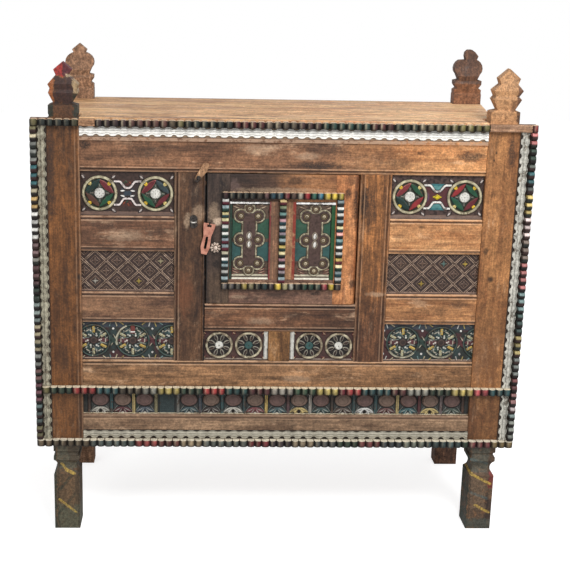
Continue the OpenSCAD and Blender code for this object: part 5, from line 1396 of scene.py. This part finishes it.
def scallops(name, low, high, start, end, colour, node, pitch, dips, seed, *, bed, soot_and_shade, back=DOOR_FACE,
             upright=False, steps=3):
    """A band with a row of round arches cut into each edge: edge = dip * sqrt(1 - ((f - 1/2) / reach)^2), f along
    each scallop. It lies on a thin bed of a given colour, darkened as far as a given share; a dark bed shows in
    the arches as painted shadow. Small steps run down its face, with painted shade in the grooves between them."""
    n = int(round((end - start) / pitch))
    f = np.linspace(0, 1, 17)[:-1]
    along = np.append((np.arange(n)[:, None] + f[None, :]).ravel(), n)
    part = along - np.minimum(np.floor(along + 1e-9), n - 1)
    rng = np.random.default_rng(seed)
    uneven = 1 + 0.16 * unevenness(along, 0 * along, 2.3, seed)
    wave = 0.5 - 0.5 * np.cos(2 * np.pi * part)
    arches = [np.sqrt(np.maximum(1 - ((part - 0.5) / reach) ** 2, 0)) * uneven for reach in (0.25, 0.28)]
    cut = [dip * (0.6 * arch + 0.4 * wave) for dip, arch in zip(dips, arches)]
    low_edge, high_edge = low + 0.2 + cut[0], high - 0.2 - cut[1]
    section = [(low + 0 * along, 0.0), (low + 0 * along, 1.2), (low_edge, 1.3)]
    # Darkening for each point of the section: painted shadow on the bed, painted shade in the grooves between the
    # steps.
    dark = [1.0, soot_and_shade, 0.5 + 0.5 * soot_and_shade]
    for s in np.linspace(0, 1, steps * 4 + 1):
        groove = (s * steps) % 1.0 >= 0.7
        section.append((low_edge + (high_edge - low_edge) * (0.03 + 0.94 * s),
                        SCALLOP_THICK * (0.95 - 0.3 * (2 * s - 1) ** 2 - 0.22 * groove)))
        dark.append(0.6 if groove else 0.0)
    section += [(high_edge, 1.3), (high + 0 * along, 1.2), (high + 0 * along, 0.0)]
    dark += dark[2::-1]
    shades = 1 + 0.1 * rng.uniform(-1, 1, n + 1)
    paint = np.ones((len(along), len(section), 4))
    paint[:, :, :3] = np.array(tint(colour)) * shades[np.floor(along).astype(int)][:, None, None]
    # The bed's colour at the edges of the section; a dark one is painted shadow in the arches.
    paint[:, :3, :3] = paint[:, -3:, :3] = tint(bed)
    grime = np.tile(np.array(dark), (len(along), 1))
    strip(name, start + (end - start) * along / n, section, 0, back, upright, CHALKY_UPRIGHT if upright else CHALKY,
          "cabinet", "chalk_white_moulding", 40, node, paint, (*tint(colour), 0.5), grime=grime, rub=0 * grime)


# The apron and the upright bands lie on dark beds, painted shadow in their arches; the top band's bed is pale brown.
scallops("scallops_top", 1068.2, 1093.6, -513.5, 513.5, (252, 249, 242), "top_scallop_moulding", 28.0, (4.8, 4.0), 71,
         bed=(160, 134, 108), soot_and_shade=0.0)
scallops("scallops_apron", 262.2, 285.8, -513.5, 513.5, (176, 170, 154), "apron_scallop_moulding", 28.6,
         (7.0, 3.0), 72, bed=(60, 48, 40), soot_and_shade=0.6)
for name, edges, dips, tone in (("left", (-619.2, -595.2), (3.4, 5.0), (166, 160, 140)),
                                ("right", (595.2, 619.2), (5.0, 3.4), (194, 191, 180))):
    for length, ends, node, seed in (("_foot", (262.6, 391.7), None, 73),
                                     ("_run", (410.4, 1093.6), "scallop_strip_" + name, 74)):
        scallops("scallops_" + name + length, *edges, *ends, tone, node, 24.0, dips, seed, bed=(64, 50, 40), soot_and_shade=0.7,
                 back=BEAD_BACK, upright=True, steps=2)

# %% [markdown]
# ## Posts, legs and finials
# Each post is one timber from foot to finial. Paint survives on the front finials and the legs:
# red and green on the carved heads, and quick yellow strokes on each front leg. A zone of paint is
# a box in height and across, with its sides pushed about by noise; a stroke is a distance to a line.

# %% Post materials
LEG_TOP, SHAFT_TOP, POST_X = 0.244, 1.112, 0.554


def stroke(net, line, width):
    """1 on a straight brush stroke: the distance to the segment a + t (b - a), t = (p - a) . (b - a) / |b - a|^2
    in 0..1."""
    x0, z0, x1, z1 = line
    run = (x1 - x0, z1 - z0, 0.0)
    arm = net.put("CombineXYZ", {0: net.minus(net.parts["x"], x0), 1: net.minus(net.parts["z"], z0)}).outputs[0]
    dot = net.vector("DOT_PRODUCT", arm, run, output="Value")
    share = net.put("Clamp", {0: net.number("DIVIDE", dot, run[0] ** 2 + run[1] ** 2)}).outputs[0]
    foot = net.put("VectorMath", {0: run, "Scale": share}, operation="SCALE").outputs[0]
    return net.spread(net.vector("DISTANCE", arm, foot, output="Value"), width * 0.4, width * 0.65, 1.0, 0.0)


def post_material(name, middle, light, dark, seed, zones=(), strokes=(), stains=(), edges=None, **wear):
    """Old wood for a whole post. A zone is (low, high, from, to, colour, cover): heights, and places across from the
    post's middle. A stroke is (x, z, x, z, width, colour, cover). All in metres."""
    net = Finish(name)
    wood = net.wood("z", light, dark, seed, **wear)
    colour, up = wood["Color"], net.parts["z"]
    for *oval, tone, cover in stains:
        colour = net.lay(net.stain(*oval), cover, colour, tone)
    if edges:
        # Moulded edges on the shaft: painted shade in the quirk and bright lips, part painted highlight.
        colour = net.lay(net.band(up, LEG_TOP, SHAFT_TOP), 0.45, colour, net.edge_shade_and_wear(colour, light, "x", *edges))
    push = net.times(net.minus(net.cloud(60.0, 4.0, 0.6), 0.5), 0.022)
    across = net.number("ADD", net.minus(net.parts["x"], middle), push)
    level = net.minus(up, push)
    chips = net.spread(net.cloud(85.0, 6.0, 0.68), 0.34, 0.5, 0.62, 1.0)
    for low, high, start, end, tone, cover in zones:
        mask = net.times(net.band(level, low, high), net.band(across, start, end))
        colour = net.lay(net.times(mask, chips), cover, colour, tone)
    faded = net.spread(net.cloud(170.0, 5.0, 0.7), 0.38, 0.6, 0.3, 1.0)
    for *line, width, tone, cover in strokes:
        colour = net.lay(net.times(stroke(net, line, width), faded), cover, colour, tone)
    worn = net.times(net.spread(net.cloud(130.0, 6.0, 0.7), 0.36, 0.64, 0.6, 1.32),
                     net.spread(net.cloud(420.0, 3.0, 0.65), 0.34, 0.66, 0.78, 1.16))
    painted_part = net.most(net.band(up, -0.01, LEG_TOP), net.band(up, SHAFT_TOP, 1.4))
    return net.done(net.shaded(colour, worn, painted_part), wood["Roughness"], wood["Height"])


def above(*zones):
    """Zones whose heights are given in millimetres above the post, and their places across in millimetres."""
    return [(SHAFT_TOP + low * MM, SHAFT_TOP + high * MM, start * MM, end * MM, tone, cover)
            for low, high, start, end, tone, cover in zones]


LEG_GREEN, LEG_WASH, LEG_BLUE, PALE_YELLOW = (34, 46, 38), (86, 90, 78), (76, 94, 94), (190, 158, 74)
left_zones = above(
    (102, 140, -40, 0, (142, 44, 40), 1.0), (102, 140, 0, 40, (80, 30, 36), 1.0),
    (98, 106, 8, 30, (206, 182, 146), 0.7), (33, 99, -22, 24, (54, 35, 32), 0.95),
    (33, 99, -42, -24, (146, 86, 50), 0.9), (33, 60, 24, 42, (40, 46, 38), 0.95),
    (60, 99, 24, 42, (170, 146, 112), 0.8), (0, 31, -42, -24, (36, 44, 36), 0.95),
    (0, 31, 24, 42, (44, 52, 46), 0.95), (0, 31, -24, 24, (84, 58, 42), 0.8), (30, 36, -34, 34, (34, 25, 22), 0.85))
left_zones += [
    (0.24, 0.392, -0.045, 0.045, (60, 42, 28), 0.3), (-0.01, 0.246, -0.045, 0.045, (84, 70, 52), 0.85),
    (0.17, 0.244, -0.03, 0.03, LEG_WASH, 0.6), (-0.01, 0.07, -0.03, 0.03, (82, 88, 72), 0.6),
    (-0.01, 0.246, 0.029, 0.045, LEG_GREEN, 0.9), (0.06, 0.15, -0.014, 0.014, (108, 84, 60), 0.6),
    (-0.01, 0.246, -0.045, -0.033, LEG_GREEN, 0.8), (-0.01, 0.2, -0.0295, -0.0275, (24, 24, 20), 0.9),
    (-0.01, 0.2, 0.0235, 0.0255, (24, 24, 20), 0.9), (0.19, 0.244, 0.0, 0.03, (76, 62, 48), 0.7)]
left_strokes = [
    (-0.578, 0.115, -0.538, 0.165, 0.008, LEG_GREEN, 0.7), (-0.582, 0.045, -0.54, 0.1, 0.007, LEG_GREEN, 0.6),
    (-0.574, 0.185, -0.561, 0.167, 0.007, PALE_YELLOW, 0.85),
    (-0.561, 0.167, -0.540, 0.159, 0.007, PALE_YELLOW, 0.85),
    (-0.581, 0.085, -0.536, 0.047, 0.006, PALE_YELLOW, 0.8)]
right_zones = above(
    (-2, 140, -50, 50, (192, 146, 104), 0.75), (34, 92, 31, 50, (92, 62, 46), 0.95),
    (28, 58, 17, 31, (112, 76, 54), 0.75), (0, 30, 32, 50, (74, 50, 38), 0.95),
    (108, 124, 24, 44, (120, 84, 56), 0.7), (36, 92, -50, -37, (120, 84, 58), 0.8),
    (0, 30, -50, -37, (74, 52, 40), 0.8))
right_zones += [
    (0.24, 0.392, -0.045, 0.045, (62, 40, 24), 0.55), (-0.01, 0.246, -0.045, 0.045, (82, 66, 52), 0.95),
    (-0.01, 0.2, -0.0235, -0.0215, (22, 24, 20), 0.9), (-0.01, 0.2, 0.0265, 0.0285, (22, 24, 20), 0.9),
    (-0.01, 0.246, -0.045, -0.027, LEG_GREEN, 0.92), (0.12, 0.165, 0.027, 0.045, (116, 46, 42), 0.85),
    (0.165, 0.244, -0.024, 0.024, (84, 86, 76), 0.7), (-0.01, 0.03, -0.03, 0.04, (60, 72, 66), 0.6),
    (0.03, 0.09, 0.022, 0.045, (46, 34, 30), 0.8), (0.06, 0.15, -0.02, 0.02, (112, 92, 72), 0.5)]
right_strokes = [
    (0.530, 0.205, 0.575, 0.190, 0.008, LEG_BLUE, 0.7), (0.534, 0.108, 0.580, 0.090, 0.007, LEG_BLUE, 0.6),
    (0.532, 0.162, 0.586, 0.133, 0.007, PALE_YELLOW, 0.85), (0.549, 0.070, 0.587, 0.049, 0.007, PALE_YELLOW, 0.85)]
left_stains = [(-0.59, 0.98, 0.022, 0.15, SOOTY, 0.8), (-0.54, 0.7, 0.02, 0.06, SOOTY, 0.35),
               (-0.565, 0.48, 0.02, 0.06, SOOTY, 0.4)]
right_stains = [
    (0.5755, 1.04, 0.012, 0.05, SOOTY, 0.75), (0.536, 1.04, 0.003, 0.004, BURNT, 0.9),
    (0.532, 1.02, 0.003, 0.004, BURNT, 0.9),
    (0.528, 0.784, 0.008, 0.012, BURNT, 0.8), (0.55, 0.47, 0.05, 0.09, (110, 70, 42), 0.6),
    (0.532, 1.135, 0.009, 0.007, BURNT, 0.7), (0.55, 0.53, 0.06, 0.12, (94, 63, 40), 0.5)]
for node, *look, wear in (
        ("post_front_left", -POST_X, (137, 88, 47), (74, 45, 24), 81.0, left_zones, left_strokes, left_stains,
         (-0.64, -0.514), (0.5, 0.5, 0.4)),
        ("post_front_right", POST_X, (181, 127, 79), (116, 73, 43), 82.0, right_zones, right_strokes, right_stains,
         (0.45, 0.35, 0.5)),
        ("post_back_left", -POST_X, (175, 134, 104), (105, 75, 54), 83.0,
         above((58, 160, -50, 50, (110, 76, 50), 0.3)), (0.5, 0.3, 0.5)),
        ("post_back_right", POST_X, (132, 94, 70), (66, 46, 38), 84.0,
         above((0, 60, -50, 50, (170, 112, 74), 0.35), (60, 160, -50, 50, (84, 54, 36), 0.3)), (0.5, 0.5, 0.4))):
    lines, patches, rubbed = wear
    dress(node, post_material(node + "_wood", *look, lines=lines, patches=patches, rubbed=rubbed), WORN)
print("posts dressed")

# %% [markdown]
# ## Ironwork and fittings
# The staple and the eye are forged iron, black where scale remains and bright where a padlock rubs;
# the staple is bright all over, part rubbed iron and part a painted reflection of the light on its bow.
# The hasp was cut from a sheet of copper alloy and has gone a soft pink. The boss is a flower of
# sheet petals, with painted shade in its folds.

# %% Metal materials


def forged(name, bright, dark, seed, metallic, rough, scale=140.0, pitted=0.35):
    """Worn metal: dark scale in clouds, brighter where it is rubbed, and painted shade where a piece marks its folds.
    """
    net = Finish(name)
    moved = net.vector("ADD", net.place, (seed, seed * 0.3, seed * 0.7))
    cloud = net.spread(net.noise(moved, scale, 6.0, 0.6), 0.34, 0.64)
    folds = net.put("Attribute", attribute_name="grime").outputs["Fac"]
    colour = net.blend(folds, net.blend(cloud, dark, bright), (30, 24, 22))
    height = net.times_plus(cloud, 0.6, net.noise(moved, 700.0, 3.0, 0.6))
    return net.done(colour, net.spread(cloud, 0.0, 1.0, rough + 0.2, rough), height, pitted, 0.0005, 0.5, metallic)


IRON = forged("forged_iron", (74, 68, 64), (30, 27, 26), 1.0, 0.6, 0.5)
BOSS_METAL = forged("boss_metal", (232, 214, 198), (160, 138, 124), 3.0, 0.25, 0.42)
for node in ("hasp_eye_pin", "staple_plate", "turn_button_nail"):
    dress(node, IRON)
# The staple's bright colour: part rubbed iron, part painted reflection of the light on its bow.
dress("lock_staple", forged("rubbed_iron_and_painted_glint", (226, 222, 214), (128, 122, 116), 1.5, 0.5, 0.35))
dress("hasp", forged("rubbed_copper", (200, 140, 118), (160, 104, 86), 2.0, 0.2, 0.5, 60.0, 0.12), 0.0005)
# The button's upper end is coloured lighter: a painted highlight along its top.
dress("turn_button", timber("button_wood", "z", (52, 42, 36), (26, 20, 18), 91.0,
                            drift=("z", 0.958, 0.978, (196, 152, 112), (112, 78, 56)), rubbed=0.6), 0.002)

# %% [markdown]
# The boss is a cup of pointed petals: each ring of its skin is a circle drawn in between the petals,
# r = R s (1 - 0.2 s (1 - p)), where s is the ring's share of the full radius and p falls in straight
# lines from 1 on a petal's ridge to 0 in the folds beside it. The folds are marked with painted shade.

# %% Rosette boss
BOSS_X, BOSS_Z, BOSS_R, PETALS, POINTS_PER_PETAL = -0.1709, 0.786, 0.0145, 9, 14
RING_SHARES = (0.7, 0.7, 0.74, 1.0, 0.97, 0.86, 0.7, 0.52, 0.38, 0.36, 0.3, 0.18, 0.05)
RING_LIFTS_MM = (-1, 0, 1.2, 3.2, 5, 6.8, 7.6, 6.8, 5.6, 7.8, 8.8, 9.3, 9.5)


def petal_boss(name):
    """Petals as ridges down a dome: the height falls with the radius and between the petals."""
    around = np.linspace(0, 2 * np.pi, PETALS * POINTS_PER_PETAL, endpoint=False)
    petal = 1 - np.abs(((around * PETALS / (2 * np.pi)) % 1.0) * 2 - 1)
    rings, folds = [], []
    for share, lift in zip(RING_SHARES, RING_LIFTS_MM):
        open_part = (share > 0.37) & (lift > 1)
        radius = BOSS_R * share * (1 - 0.2 * (1 - petal) * share * open_part)
        depth = lift * MM * (1 - 0.6 * (1 - petal) * open_part)
        rings.append(np.stack([BOSS_X + radius * np.cos(around), DOOR_FACE * MM - depth,
                               BOSS_Z + radius * np.sin(around)], axis=-1))
        # Painted shade in the folds between the petals and round the inner ring.
        folds.append(eased((0.36 - petal) / 0.3) * open_part + 0.8 * (abs(share - 0.38) < 0.01))
    points, quads, fans = closed_rings(np.array(rings))
    piece = skin(name, points, quads, fans, BOSS_METAL, "door", "copper_metal", sharp=60,
                 grime=np.append(np.clip(np.array(folds), 0, 1).ravel(), [0, 0]))
    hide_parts("rosette_boss")


petal_boss("petal_boss")
print("fittings dressed")

# %% [markdown]
# ## Stage and light
# A plain pale floor and a soft studio: one broad lamp above and to the right, a weaker one at the
# left, and an even sky. The camera sees the sky and the floor as near white, which adds no light
# to the cabinet.

# %% Floor
FLOOR_HALF, FLOOR_Z = 9.0, -0.0002
WHITE, PALE = (1, 1, 1, 1), (0.8, 0.8, 0.8, 1)
floor_mesh = bpy.data.meshes.new("studio_floor")
corners = [(x * FLOOR_HALF, y * FLOOR_HALF, FLOOR_Z) for x, y in ((-1, -1), (1, -1), (1, 1), (-1, 1))]
floor_mesh.from_pydata(corners, [], [(0, 1, 2, 3)])
floor = bpy.data.objects.new("studio_floor", floor_mesh)
bpy.context.scene.collection.objects.link(floor)
floor_material = bpy.data.materials.new("pale_floor")
floor_material.use_nodes = True
net = Net(floor_material.node_tree)
shader, end = (next(node for node in net.tree.nodes if node.type == kind)
               for kind in ("BSDF_PRINCIPLED", "OUTPUT_MATERIAL"))
shader.inputs["Base Color"].default_value = PALE
shader.inputs["Roughness"].default_value = 0.9
seen = net.put("LightPath").outputs["Is Camera Ray"]
glow = net.put("Emission", {"Color": WHITE, "Strength": net.times(seen, 0.74)})
both = net.put("AddShader", {0: shader.outputs[0], 1: glow.outputs[0]})
net.tree.links.new(both.outputs[0], end.inputs["Surface"])
floor_mesh.materials.append(floor_material)

# %% Sky and lamps
world = bpy.data.worlds.new("studio")
bpy.context.scene.world = world
world.use_nodes = True
world.node_tree.nodes.clear()
net = Net(world.node_tree)
path = net.put("LightPath").outputs
clear = net.most(path["Is Camera Ray"], net.most(path["Is Glossy Ray"], path["Is Transmission Ray"]))
soft, white = (net.put("Background", {"Color": WHITE, "Strength": strength}).outputs[0] for strength in (0.34, 1.0))
mixed = net.put("MixShader", {0: clear, 1: soft, 2: white})
net.put("OutputWorld", {"Surface": mixed.outputs[0]})


def lamp(name, place, target, size, power):
    """A square soft lamp that faces a point."""
    data = bpy.data.lights.new(name, "AREA")
    data.size, data.energy = size, power
    made = bpy.data.objects.new(name, data)
    made.location = place
    made.rotation_euler = (Vector(target) - Vector(place)).to_track_quat("-Z", "Y").to_euler()
    bpy.context.scene.collection.objects.link(made)
    print("lamp", name, power, "W")


lamp("key", (0.9, -2.4, 3.0), (0.1, 0, 0.7), 1.3, 94)
lamp("fill", (-2.4, -2.6, 1.4), (0, 0, 0.6), 1.8, 20)
